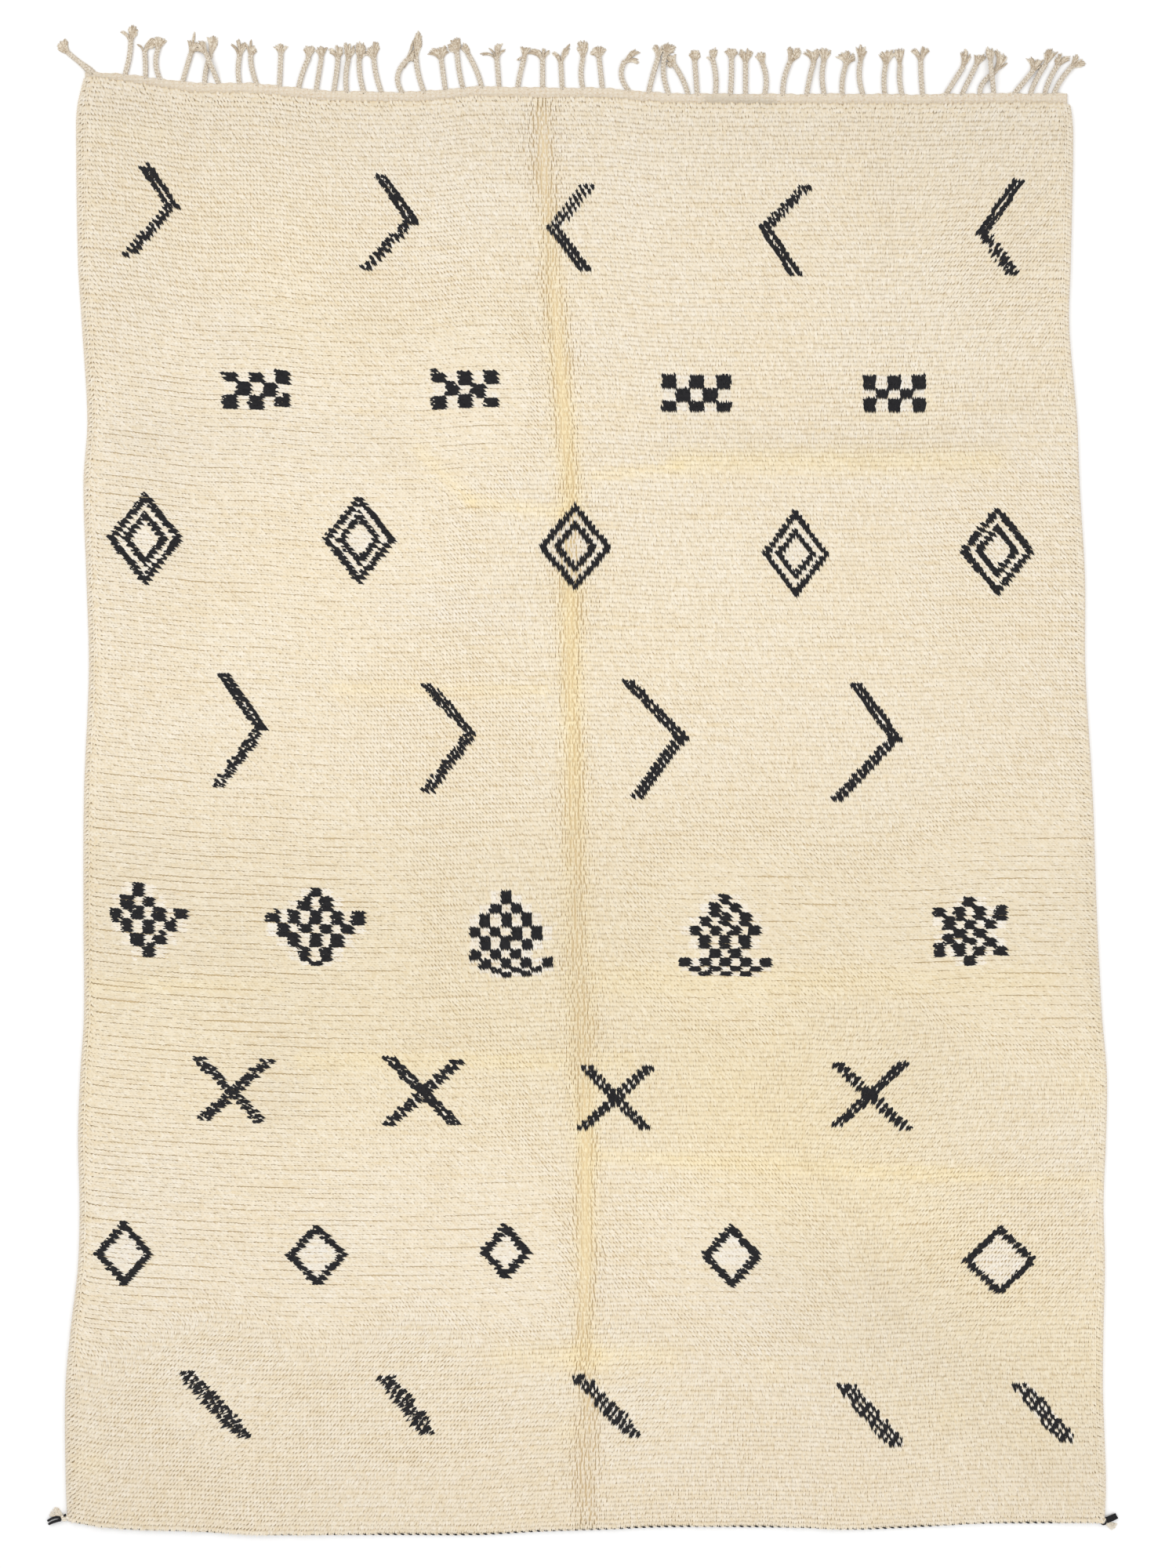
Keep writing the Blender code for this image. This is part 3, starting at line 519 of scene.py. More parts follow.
def store(mesh, **columns):
    """Keep a number or a vector for every point, under the name that a wool or a tree reads it by."""
    for name, values in columns.items():
        values = np.ascontiguousarray(values, np.float32)
        kind, key = ("FLOAT", "value") if values.ndim == 1 else ("FLOAT_VECTOR", "vector")
        mesh.attributes.new(name, kind, "POINT").data.foreach_set(key, values.ravel())


def new_piece(name, points, faces=(), edges=(), wool=None):
    """A mesh object from places in the tables' millimetres, put into the frame's metres."""
    mesh = bpy.data.meshes.new(name)
    places = (np.asarray(points, float).reshape(-1, 3) + FRAME_SHIFT) * MM
    mesh.from_pydata(places.tolist(), edges, faces)
    if wool:
        mesh.materials.append(wool)
    return in_scene(name, mesh)


def grid_faces(rows, width, closed=False):
    """Faces between rows of points. Closed rows go round, back to their first point."""
    return [
        (i * width + j, i * width + (j + 1) % width, (i + 1) * width + (j + 1) % width, (i + 1) * width + j)
        for i in range(rows - 1) for j in range(width if closed else width - 1)
    ]


def rounded(piece):
    """Turn the faces of closed forms outwards and shade them smooth."""
    mesh = piece.data
    bm = bmesh.new()
    bm.from_mesh(mesh)
    bmesh.ops.recalc_face_normals(bm, faces=bm.faces)
    bm.to_mesh(mesh)
    bm.free()
    mesh.polygons.foreach_set("use_smooth", [True] * len(mesh.polygons))
    return piece


def add(tree, kind, inputs=None, out=0, **settings):
    """Add one node to a tree, and give one of its outputs. Inputs are values or other nodes' outputs, by the
    socket's name or number."""
    node = tree.nodes.new(kind)
    for name, value in settings.items():
        setattr(node, name, value)
    for key, value in (inputs or {}).items():
        if isinstance(value, bpy.types.NodeSocket):
            tree.links.new(value, node.inputs[key])
        else:
            node.inputs[key].default_value = value
    return node.outputs[out] if node.outputs else None


def new_tree(name, sockets):
    """A geometry tree that takes and gives one geometry, with more named inputs."""
    tree = bpy.data.node_groups.new(name, "GeometryNodeTree")
    tree.interface.new_socket("Geometry", in_out="INPUT", socket_type="NodeSocketGeometry")
    for socket, kind in sockets.items():
        tree.interface.new_socket(socket, in_out="INPUT", socket_type=kind)
    tree.interface.new_socket("Geometry", in_out="OUTPUT", socket_type="NodeSocketGeometry")
    return tree, tree.nodes.new("NodeGroupInput").outputs


def finish_tree(tree, geometry, wool):
    """End a tree in real geometry of one wool."""
    real = add(tree, "GeometryNodeRealizeInstances", {"Geometry": geometry})
    made = add(tree, "GeometryNodeSetMaterial", {"Geometry": real, "Material": wool})
    add(tree, "NodeGroupOutput", {0: made})
    return tree


def grown(name, seed, tree, values, spent):
    """What a geometry tree makes of a seed object, as a plain mesh in a new object, without the spent
    attributes that only the tree reads."""
    modifier = seed.modifiers.new("tree", "NODES")
    modifier.node_group = tree
    for item in tree.interface.items_tree:
        if item.in_out == "INPUT" and item.name in values:
            modifier[item.identifier] = values[item.name]
    evaluated = seed.evaluated_get(bpy.context.evaluated_depsgraph_get())
    mesh = bpy.data.meshes.new_from_object(evaluated)
    mesh.name = name
    seed_mesh = seed.data
    bpy.data.objects.remove(seed)
    bpy.data.meshes.remove(seed_mesh)
    for extra in spent:
        if extra in mesh.attributes:
            mesh.attributes.remove(mesh.attributes[extra])
    return in_scene(name, mesh)


def map_from_above(piece):
    """A plain map from above for the export, where every end has its own place."""
    mesh = piece.data
    places = np.zeros(len(mesh.vertices) * 3)
    mesh.vertices.foreach_get("co", places)
    plan = places.reshape(-1, 3)[:, :2]
    low, high = plan.min(0), plan.max(0)
    corners = np.zeros(len(mesh.loops), int)
    mesh.loops.foreach_get("vertex_index", corners)
    layer = mesh.uv_layers.new(name="OFBake")
    layer.data.foreach_set("uv", ((plan - low) / (high - low))[corners].ravel())


# --- wools ---------------------------------------------------------------------------------------------

def linear(colour):
    """An sRGB hex colour as the shader wants it."""
    parts = [int(colour[i:i + 2], 16) / 255 for i in (1, 3, 5)]
    return tuple(c / 12.92 if c <= 0.04045 else ((c + 0.055) / 1.055) ** 2.4 for c in parts) + (1.0,)


def new_material(name, roughness, sheen=0.0):
    material = bpy.data.materials.new(name)
    material.use_nodes = True
    shader = material.node_tree.nodes["Principled BSDF"]
    shader.inputs["Roughness"].default_value = roughness
    shader.inputs["Specular IOR Level"].default_value = 0.2    # wool has hardly any gloss
    shader.inputs["Sheen Weight"].default_value = sheen
    shader.inputs["Sheen Roughness"].default_value = 0.6
    return material, material.node_tree, shader


def mottle(tree, size, stretch=(1, 1, 1), detail=2.0):
    """Unevenness from 0 to 1, with features of about size millimetres times the stretch along each axis."""
    places = add(tree, "ShaderNodeTexCoord", out="Object")
    places = add(tree, "ShaderNodeMapping", {"Vector": places, "Scale": tuple(1 / s for s in stretch)})
    inputs = {"Vector": places, "Scale": 1 / (size * MM), "Detail": detail}
    return add(tree, "ShaderNodeTexNoise", inputs, out="Fac")


def coloured(tree, base, *layers):
    """A colour with more colours over it. Each layer has a source, its values where the layer starts and
    where it is full, how much of it shows then, and its colour. A source is an output or an attribute's
    name."""
    colour = linear(base)
    for source, start, full, most, tone in layers:
        if isinstance(source, str):
            source = add(tree, "ShaderNodeAttribute", out="Fac", attribute_name=source)
        part = add(tree, "ShaderNodeMapRange",
                   {"Value": source, "From Min": start, "From Max": full, "To Max": most})
        colour = add(tree, "ShaderNodeMix", {0: part, 6: colour, 7: linear(tone)}, out=2, data_type="RGBA")
    return colour


def finish_wool(tree, shader, colour, height, depth, strength):
    """Give a wool its colour, and a bump from a height of 0 to 1 that is depth millimetres deep."""
    tree.links.new(colour, shader.inputs["Base Color"])
    bump = add(tree, "ShaderNodeBump", {"Height": height, "Distance": depth * MM, "Strength": strength})
    tree.links.new(bump, shader.inputs["Normal"])


def cream_pile_wool():
    """Undyed handspun wool, knotted and cut: matt and soft, creamier at the tips, tan between the ends as
    painted shade of the deep gaps there, with the tone changing a little from row to row as the spinning
    did, yellowed along the old folds, and greyed partly by dust and partly by painted shade."""
    material, tree, shader = new_material("cream_pile_wool", 0.95, sheen=0.15)
    colour = coloured(
        tree, "#F4EDDF",
        ("warmth", 0.0, 1.0, 1.0, "#FCEFCA"),
        ("pale", 0.0, 1.0, 1.0, "#F2EFEA"),
        (mottle(tree, 11.0, stretch=(16, 1, 1), detail=3.0), 0.5, 0.8, 0.5, "#EBD9B4"),
        (mottle(tree, 260.0), 0.35, 0.75, 0.35, "#F0E2C6"),
        ("soil", 0.0, 1.0, 0.42, "#DFD2BF"),
        # partly dust and partly painted shade, greying the wool
        ("dust", 0.0, DUST_AND_SHADE_MOST, 0.75, "#DDD6CB"),
        # painted shade: the root value turns the wool tan where the ends dip into the shaded gaps between
        # rows
        ("root", 0.0, 1.0, 0.6, "#DABF88"),
    )
    tint = coloured(tree, "#F5EFE2", ("spun", 0.0, 1.0, 1.0, "#FFFFFF"))
    colour = add(tree, "ShaderNodeMix", {0: 1.0, 6: colour, 7: tint}, out=2, data_type="RGBA",
                 blend_type="MULTIPLY")
    finish_wool(tree, shader, colour, mottle(tree, 0.9, stretch=(1, 3, 1)), 0.4, 0.35)
    return material


def charcoal_pile_wool():
    """Naturally dark wool, spun as the cream is: nearly black, browner and greyer from end to end."""
    material, tree, shader = new_material("charcoal_pile_wool", 0.92, sheen=0.1)
    colour = coloured(tree, "#131318", ("spun", 0.0, 1.0, 1.0, "#222124"),
                      (mottle(tree, 1.6), 0.4, 0.75, 0.5, "#2C2B29"))
    finish_wool(tree, shader, colour, mottle(tree, 0.9, stretch=(1, 3, 1)), 0.4, 0.4)
    return material


PLIES = 2                     # of every yarn


def twisted(tree, pitch):
    """Height of a plied yarn's surface, from the cosine and sine round it and the millimetres along it."""
    around = add(tree, "ShaderNodeAttribute", out="Vector", attribute_name="around")
    cosine, sine, along = add(tree, "ShaderNodeSeparateXYZ", {0: around}).node.outputs
    angle = add(tree, "ShaderNodeMath", {0: sine, 1: cosine}, operation="ARCTAN2")
    turns = add(tree, "ShaderNodeMath", {0: along, 1: 2 * pi / pitch}, operation="MULTIPLY")
    phase = add(tree, "ShaderNodeMath", {0: angle, 1: PLIES, 2: turns}, operation="MULTIPLY_ADD")
    wave = add(tree, "ShaderNodeMath", {0: phase}, operation="SINE")
    return add(tree, "ShaderNodeMapRange", {"Value": wave, "From Min": -1.0})


def yarn_wool(name, light, dark, shade_and_speck, pitch):
    """Plied wool yarn: its plies wind round it, with painted shade in the grooves between them, browner in
    the painted shade of the yarns over it, with dark vegetable specks and a fibrous surface."""
    material, tree, shader = new_material(name, 0.93, sheen=0.12)
    plies = twisted(tree, pitch)
    # painted shade: darker in the grooves between the plies, and towards the speck colour where the yarn
    # lies in shade under others
    colour = coloured(tree, light, (plies, 0.6, 0.0, 1.0, dark), ("shade", 0.0, 1.0, 0.55, shade_and_speck),
                      (mottle(tree, 3.2, detail=3.0), 0.52, 0.68, 0.8, shade_and_speck))
    fuzz = add(tree, "ShaderNodeMath", {0: plies, 1: mottle(tree, 0.8)}, operation="ADD")
    finish_wool(tree, shader, colour, fuzz, 0.5, 0.5)
    return material


WEFT_PITCH = 2.2
WARP_PITCH = 3.4
WEAVE_COARSER = pi            # the weave is drawn this much coarser than it is, so that it shows
WAVE_TURN = 20.0              # radians that Blender's wave texture turns through in one unit of its scale


def woven_wool():
    """The flat-woven strip: wefts beaten down hard over the warps, so that fine ribs run along it, painted
    darker between the ribs as shade.
    """
    material, tree, shader = new_material("flat_woven_wool", 0.93, sheen=0.1)
    places = add(tree, "ShaderNodeTexCoord", out="Object")
    wefts, warps = (
        add(tree, "ShaderNodeTexWave",
            {"Vector": places, "Scale": 2 * pi / (WAVE_TURN * WEAVE_COARSER * pitch * MM),
             "Distortion": distortion, "Detail": 2.0, "Detail Scale": 4.0},
            out="Fac", wave_type="BANDS", bands_direction=way)
        for pitch, distortion, way in ((WEFT_PITCH, 1.2, "Y"), (WARP_PITCH, 0.8, "X")))
    weave = add(tree, "ShaderNodeMath", {0: wefts, 1: warps}, operation="MULTIPLY")
    colour = coloured(
        tree, "#E3D9CA",
        # painted shade: darker between the woven ribs
        (weave, 0.7, 0.0, 0.5, "#D0C0A5"),
        (mottle(tree, 3.4, detail=3.0), 0.52, 0.70, 0.7, "#C2A47C"),
        (mottle(tree, 60.0), 0.35, 0.7, 0.5, "#DFD2BB"),
        # partly dust and partly painted shade, greying the strip
        ("dust", 0.9, DUST_AND_SHADE_MOST, 0.5, "#A09787"),
    )
    finish_wool(tree, shader, colour, weave, 0.6, 0.6)
    return material


CREAM_PILE = cream_pile_wool()
CHARCOAL_PILE = charcoal_pile_wool()
# Each yarn: its colour, its painted shade in the ply grooves, the colour of its specks and of its painted
# shade under other yarns, and its twist in millimetres.
WARP_YARN = yarn_wool("undyed_warp_wool", "#E5DCCD", "#D2C6B2", "#9C866C", 9.0)
CUT_YARN = yarn_wool("cut_warp_wool", "#EAE0CF", "#D9CCB6", "#9A8161", 9.0)
BINDING_YARN = yarn_wool("overcast_binding_wool", "#E4DAC9", "#D3C5AC", "#BFA788", 7.0)
CHARCOAL_YARN = yarn_wool("charcoal_cord_wool", "#18171B", "#0D0D10", "#242221", 6.0)
CREAM_YARN = yarn_wool("cream_cord_wool", "#F2EADB", "#E2D7C3", "#C9B394", 6.0)
WOVEN = woven_wool()


# --- the pile ------------------------------------------------------------------------------------------

def in_checker(x, y, motif):
    """Which ends lie in a checkered motif's charcoal cells, and which in its cream ones."""
    stops = motif.y - np.cumsum((0,) + motif.heights)
    row = np.searchsorted(-stops, -y, side="right") - 1
    column = np.floor((x - motif.x) / motif.cell).astype(int)
    chart = np.array([[cell == "#" for cell in line] for line in motif.chart])
    inside = (row >= 0) & (row < len(chart)) & (column >= 0) & (column < len(chart[0]))
    dark, beside = np.zeros(x.shape, bool), np.zeros(x.shape, bool)
    dark[inside] = chart[row[inside], column[inside]]
    for step in (-1, 1):
        near = inside & (column + step >= 0) & (column + step < len(chart[0]))
        beside[near] |= chart[row[near], (column + step)[near]]
    return dark, beside & ~dark


def in_diamond(x, y, motif):
    """Which ends lie on a diamond's charcoal rings, and which between them."""
    out = np.abs(x - motif.x) / motif.half_width + np.abs(y - motif.y) / motif.half_height
    dark = np.zeros(x.shape, bool)
    for inner, outer in motif.rings:
        dark |= (out >= inner) & (out <= outer)
    return dark, (out < 1.0) & ~dark


def in_bar(x, y, motif, column, row, lean):
    """Which ends of a slanting bar are charcoal, and which are cream."""
    part = (motif.y0 - y) / (motif.y0 - motif.y1)
    away = np.abs(x - blend(motif.x0, motif.x1, part))
    half_width = motif.half_width
    if motif.look == BROAD:
        to_end = np.minimum(motif.y0 - y, y - motif.y1)
        half_width = half_width * unit(BROAD_END_PART + to_end / BROAD_END)
        dark = (2 * (column // 2) + 3 * row) % 5 < 3    # three knots in five, staggered
    elif motif.look == RUNGS:
        dark = ((x + y * np.tan(np.clip(lean, -RUNG_SLANT, RUNG_SLANT))) / RUNG_PITCH) % 1.0 < RUNG_SHARE
    else:
        dark = away > BAR_GAP
    body = (part >= 0) & (part <= 1) & (away < half_width)
    return body & dark, body & ~dark


def charted(x, y, column, row, lean):
    """Which yarn ends are charcoal, and which are cream inside a motif."""
    dark, pale = np.zeros(x.shape, bool), np.zeros(x.shape, bool)
    parts = [in_checker(x, y, motif) for motif in CHECKERS]
    parts += [in_diamond(x, y, motif) for motif in DIAMONDS]
    parts += [in_bar(x, y, motif, column, row, lean) for motif in BARS]
    for motif_dark, motif_pale in parts:
        dark |= motif_dark
        pale |= motif_pale
    return dark, pale & ~dark


# Which way the nap lies at some places: x, y, and degrees from straight towards the hem to the right. It has
# been walked and folded every way, and shows in the slant of the motifs' ends.
NAP = (
    (-860, 1113, 35), (-390, 1097, 35), (-40, 1081, 18), (412, 1081, 24), (853, 1073, -34),
    (-659, 793, 72), (-227, 793, 66), (237, 785, 8), (629, 785, 0), (-883, 489, 66), (-451, 489, 62),
    (-11, 473, 6), (437, 457, 18), (853, 465, 42), (-683, 57, 60), (-275, 57, 38), (165, 57, 24),
    (589, 57, 14), (-875, -279, 82), (-539, -287, 78), (-83, -311, 12), (301, -319, 70), (797, -303, 78),
    (-707, -639, 80), (-315, -647, 55), (77, -647, 6), (589, -647, -28), (-931, -967, 80),
    (-534, -970, 82), (-150, -966, 74), (310, -974, 62), (850, -985, -40), (-747, -1274, -58),
    (-355, -1279, -52), (58, -1282, -32), (589, -1300, 6), (943, -1292, 10), (-900, -1450, -30),
    (-350, -1480, -18), (250, -1480, 0), (850, -1470, 10), (-900, 1350, 30), (-300, 1340, 20),
    (300, 1330, 8), (850, 1330, -15),
)
NAP_REACH = 110.0


def nap_turn(x, y):
    """Which way the nap lies, in radians, between the places where it was read."""
    across, down = np.zeros_like(x), np.zeros_like(x)
    for place_x, place_y, lean in NAP:
        weight = ((x - place_x) ** 2 + (y - place_y) ** 2 + NAP_REACH ** 2) ** -2.0
        across += weight * sin(radians(lean))
        down += weight * cos(radians(lean))
    return np.arctan2(across, down)


# One cut end of a knot, as four corners: across, against the nap and up from its place on the row, and how
# near the root each is, which the pile wool turns into painted shade, tan towards the root. It is widest
# over its row, leans over the next one to its tip, and comes out of the ground behind.
YARN_END = (
    (-2.6, 3.0, -0.9, 0.2),
    (2.6, 3.0, -0.9, 0.2),
    (0.0, -7.0, -0.5, 0.0),
    (0.0, 9.0, -2.8, 1.0),
)
YARN_END_FACES = ((0, 2, 1), (0, 1, 3), (0, 3, 2), (1, 2, 3))
YARN_END_SHOWS = 4.0          # its visible part's middle, along the nap from its row line
TURN_SPREAD = 0.13            # radians by which the ends differ
SIZE_SPREAD = 0.09
STRAY_ACROSS = 0.7            # how far an end strays from its place
STRAY_ALONG = 0.4
STRAY_UP = 0.2
CHARCOAL_BULK = (1.25, 1.18, 1.05)   # the charcoal yarn is spun thicker, and stands a little over the cream
CHARCOAL_RISE = 0.6
FLATTENED = 0.28              # how much wider the ends are where the nap lies across

FOLD_RIPPLE = ((5.0, 43.0, 0.0), (3.0, 17.0, 1.0))
FOLD_PARTING_WIDTH = 31.0     # on both sides of the fold the nap parts in lines down the rug
FOLD_PARTING_RIPPLE = (0.25, 71.0, 2.0)
FOLD_RAGGED = (0.5, 2.2)      # how differently far out from the fold its ends part
FOLD_LINE_ENDS = 2.8          # yarn ends from one parted line to the next
FOLD_LINE_STRAY = 1.1
FOLD_LINE_FALL = 1.2          # yarn ends over which a line's parting fades
FOLD_PARTING = 2.3
FOLD_IN_MOTIFS = 0.3          # how much of the parting the thicker charcoal ends show
FOLD_THINNER = 0.38           # how much thinner the ends show there
FOLD_TURN_WIDTH = 52.0        # over this the nap turns straight down the rug, towards the fold
FOLD_TURN = 0.85

HEM_REACH = 7.0               # the ends at the hem differ over this length inwards
HEM_DROOP = 0.28              # radians by which they hang over the edge
HEM_SHORTER = (0.05, 0.35)    # how much shorter they are, where the cord is hidden and where it shows
STRIP_REACH = 16.0            # those at the strip stray further along the rug
STRIP_STRAY = 3.0
SIDE_REACH = 6.0              # and those at the selvedges lean out over them
SIDE_FULL = 1.7
SIDE_LEAN = 0.9
SIDE_OVERHANG = 4.5
RIGHT_OVERHANG = 1.15         # at the right, times as far
SIDE_WIDER = (0.35, 0.7)      # how much wider they are, at the left and at the right

KNOT_ENDS_APART = ROW_PITCH / 5    # how far each end of a knot lies from their middle, where it lies across
KNOT_STRAY = (0.6, 0.3)       # how far both ends of a knot stray, where the nap lies down and where across
WAVER_SPREAD = (0.3, 1.7)     # how differently far one row wavers from the next
WAVER_OF_ALL = (0.7, 0.8)     # of the waves below, where the nap lies down and where across
WAVER_WHERE_AGED = 0.7        # more
WAVER_LESS_AT_FOLD = 0.7
WAVER_LESS_AT_STRIP = 0.6
MOTIF_PALE = 0.8              # the cream inside the motifs is whiter by this
KNOT_TONE = 0.25              # by how much the wool's tone differs from knot to knot, and from end to end
END_TONE = 0.3
# How far a row of knots wavers where the nap lies down the rug, and where it lies across, and each wave's
# length over 2 pi.
ROW_WAVERS = ((0.3, 0.45, 53.0), (0.35, 0.2, 21.0), (0.5, 0.15, 7.3), (0.2, 0.55, 140.0))


def yarn_end():
    """One cut end, to be planted many times."""
    corners = np.array(YARN_END)
    mesh = bpy.data.meshes.new("yarn_end")
    mesh.from_pydata((corners[:, :3] * MM).tolist(), [], YARN_END_FACES)
    store(mesh, root=corners[:, 3])
    return in_scene("yarn_end", mesh)


def planting_tree():
    """Stands a yarn end on every point, turned and sized as the point says, each a little different."""
    tree, given = new_tree("plant_yarn_ends", {
        "Yarn End": "NodeSocketObject", "Wool": "NodeSocketMaterial", "Turn Spread": "NodeSocketFloat",
        "Size Spread": "NodeSocketFloat", "Seed": "NodeSocketInt"})
    settled = []
    for number, (name, spread) in enumerate((("turn", "Turn Spread"), ("size", "Size Spread"))):
        own = add(tree, "GeometryNodeInputNamedAttribute", {"Name": name}, data_type="FLOAT_VECTOR")
        seed = add(tree, "FunctionNodeIntegerMath", {0: given["Seed"], 1: number}, operation="ADD")
        change = add(tree, "FunctionNodeRandomValue",
                     {0: (-1.0, -1.0, -1.0), 1: (1.0, 1.0, 1.0), "Seed": seed}, data_type="FLOAT_VECTOR")
        change = add(tree, "ShaderNodeVectorMath", {0: change, 3: given[spread]}, operation="SCALE")
        settled.append(add(tree, "ShaderNodeVectorMath", {0: own, 1: change}, operation="ADD"))
    end = add(tree, "GeometryNodeObjectInfo", {"Object": given["Yarn End"]}, out="Geometry")
    ends = add(tree, "GeometryNodeInstanceOnPoints", {
        "Points": given["Geometry"], "Instance": end, "Rotation": settled[0], "Scale": settled[1]})
    return finish_tree(tree, ends, given["Wool"])


def knotted_ends():
    """Place, turn, size and colour of every yarn end, row by row from the hem."""
    row, column = np.meshgrid(np.arange(ROWS), np.arange(ENDS_A_ROW), indexing="ij")
    x, y = field_place((column + 0.5) / ENDS_A_ROW, (row + 0.5) / ROWS)
    near_hem = fading(y - hem_edge(x), HEM_REACH)
    near_strip = fading(pile_end(x) - y, STRIP_REACH)
    near_left = unit(SIDE_FULL * fading(x - left_edge(y) - PILE_INSET, SIDE_REACH))
    near_right = unit(SIDE_FULL * fading(right_edge(y) - PILE_INSET - x, SIDE_REACH))
    from_fold = x - centre_fold(y) - ripple(y, *FOLD_RIPPLE)
    fold_width = FOLD_PARTING_WIDTH * (1.0 + ripple(y, FOLD_PARTING_RIPPLE))
    fold = bell(from_fold, fold_width) ** rng.uniform(*FOLD_RAGGED, x.shape)
    turned = FOLD_TURN * bell(from_fold, FOLD_TURN_WIDTH)
    lean = nap_turn(x, y) * (1.0 - turned) * (1.0 - near_hem)
    lean = blend(blend(lean, -SIDE_LEAN, near_left), SIDE_LEAN, near_right)
    seen = x + YARN_END_SHOWS * np.sin(lean), y - YARN_END_SHOWS * np.cos(lean)
    dark, pale = charted(*seen, column, row, lean)

    # Each row wavers by itself, so the gaps between rows open and close along the rug. The gaps are longest
    # where the nap lies across.
    across = np.abs(np.sin(lean))
    phases = rng.uniform(0, 2 * pi, (len(ROW_WAVERS), ROWS, 1))
    waver = ripple(x, *((blend(down, over, across), length, phase)
                        for (down, over, length), phase in zip(ROW_WAVERS, phases, strict=True)))
    yellowed = warmth(x, y)
    aged = unit(yellowed)
    # Along the old fold the nap parts the other way, in short wavering lines down the rug.
    line = np.round(column / FOLD_LINE_ENDS).astype(int)
    from_line = column - FOLD_LINE_ENDS * line - stray(FOLD_LINE_STRAY, (ROWS, line.max() + 1))[row, line]
    parting = FOLD_PARTING * np.sign(from_line) * fading(np.abs(from_line), FOLD_LINE_FALL)
    # Where the nap lies across the rug, a knot's two ends lie one above the other.
    apart = KNOT_ENDS_APART * across * np.where(column % 2 == 0, 1.0, -1.0)
    knot = stray(1.0, (2, ROWS, ENDS_A_ROW // 2)).repeat(2, axis=2)
    over_side = SIDE_OVERHANG * (RIGHT_OVERHANG * near_right - near_left)
    fold = np.where(dark, FOLD_IN_MOTIFS * fold, fold)
    dx = fold * parting + over_side + stray(STRAY_ACROSS, x.shape)
    waver = waver * rng.uniform(*WAVER_SPREAD, (ROWS, 1)) * blend(*WAVER_OF_ALL, across)
    waver = waver * (1.0 + WAVER_WHERE_AGED * aged) * (1.0 - WAVER_LESS_AT_FOLD * fold)
    waver = waver * (1.0 - WAVER_LESS_AT_STRIP * near_strip)
    shows = np.interp(x, *np.transpose(CORD_SHOWS))
    dy = waver + apart + blend(*KNOT_STRAY, across) * knot[0] + stray(STRAY_ALONG, x.shape)
    dy = dy + near_strip * stray(STRIP_STRAY, x.shape)
    dy = dy + near_hem * blend(ripple(x, *HEM_RAGGED) - HEM_HANGS, HEM_DRAWN_BACK, shows)

    z = nap_height(x, y) + stray(STRAY_UP, x.shape) + np.where(dark, CHARCOAL_RISE, 0.0)
    bulk = [np.where(dark, part, 1.0) for part in CHARCOAL_BULK]
    wide = bulk[0] * (1.0 + FLATTENED * across - FOLD_THINNER * fold
                      + SIDE_WIDER[0] * near_left + SIDE_WIDER[1] * near_right)
    long = bulk[1] * (1.0 - blend(*HEM_SHORTER, shows) * near_hem)
    ends = {
        "row": row,
        "dark": dark,
        "place": np.stack([x + dx, y + dy, z], -1),
        "turn": np.stack([HEM_DROOP * near_hem, 0.0 * x, lean], -1),
        "size": np.stack([wide, long, bulk[2]], -1),
        "warmth": aged * ~pale,
        "pale": np.where(pale, MOTIF_PALE, unit(-yellowed)),
        "soil": soiling(x, y) * ~pale,
        "dust": dusting(x, y) * ~pale,
        "spun": 0.5 + KNOT_TONE * knot[1] + stray(END_TONE, x.shape),
    }
    return {name: values.reshape(x.size, *values.shape[2:]) for name, values in ends.items()}


def plant(name, ends, chosen, tree, end, wool, seed):
    """One mesh of the chosen yarn ends."""
    seeds = new_piece(name + "_seeds", ends["place"][chosen])
    kept = ("turn", "size", "warmth", "pale", "soil", "dust", "spun")
    store(seeds.data, **{key: ends[key][chosen] for key in kept})
    values = {
        "Yarn End": end, "Wool": wool, "Turn Spread": TURN_SPREAD, "Size Spread": SIZE_SPREAD, "Seed": seed}
    piece = grown(name, seeds, tree, values, spent=("turn", "size"))
    map_from_above(piece)
    return piece


def pile():
    """All the cream ends, in bands of rows, and the charcoal ones."""
    ends, tree, end = knotted_ends(), planting_tree(), yarn_end()
    band = ends["row"] * PILE_PIECES // ROWS
    pieces = [
        plant(f"cream_pile_{i + 1}", ends, ~ends["dark"] & (band == i), tree, end, CREAM_PILE, 10 + i)
        for i in range(PILE_PIECES)
    ]
    motifs = plant("charcoal_pile", ends, ends["dark"], tree, end, CHARCOAL_PILE, 30)
    bpy.data.objects.remove(end)
    return pieces, motifs


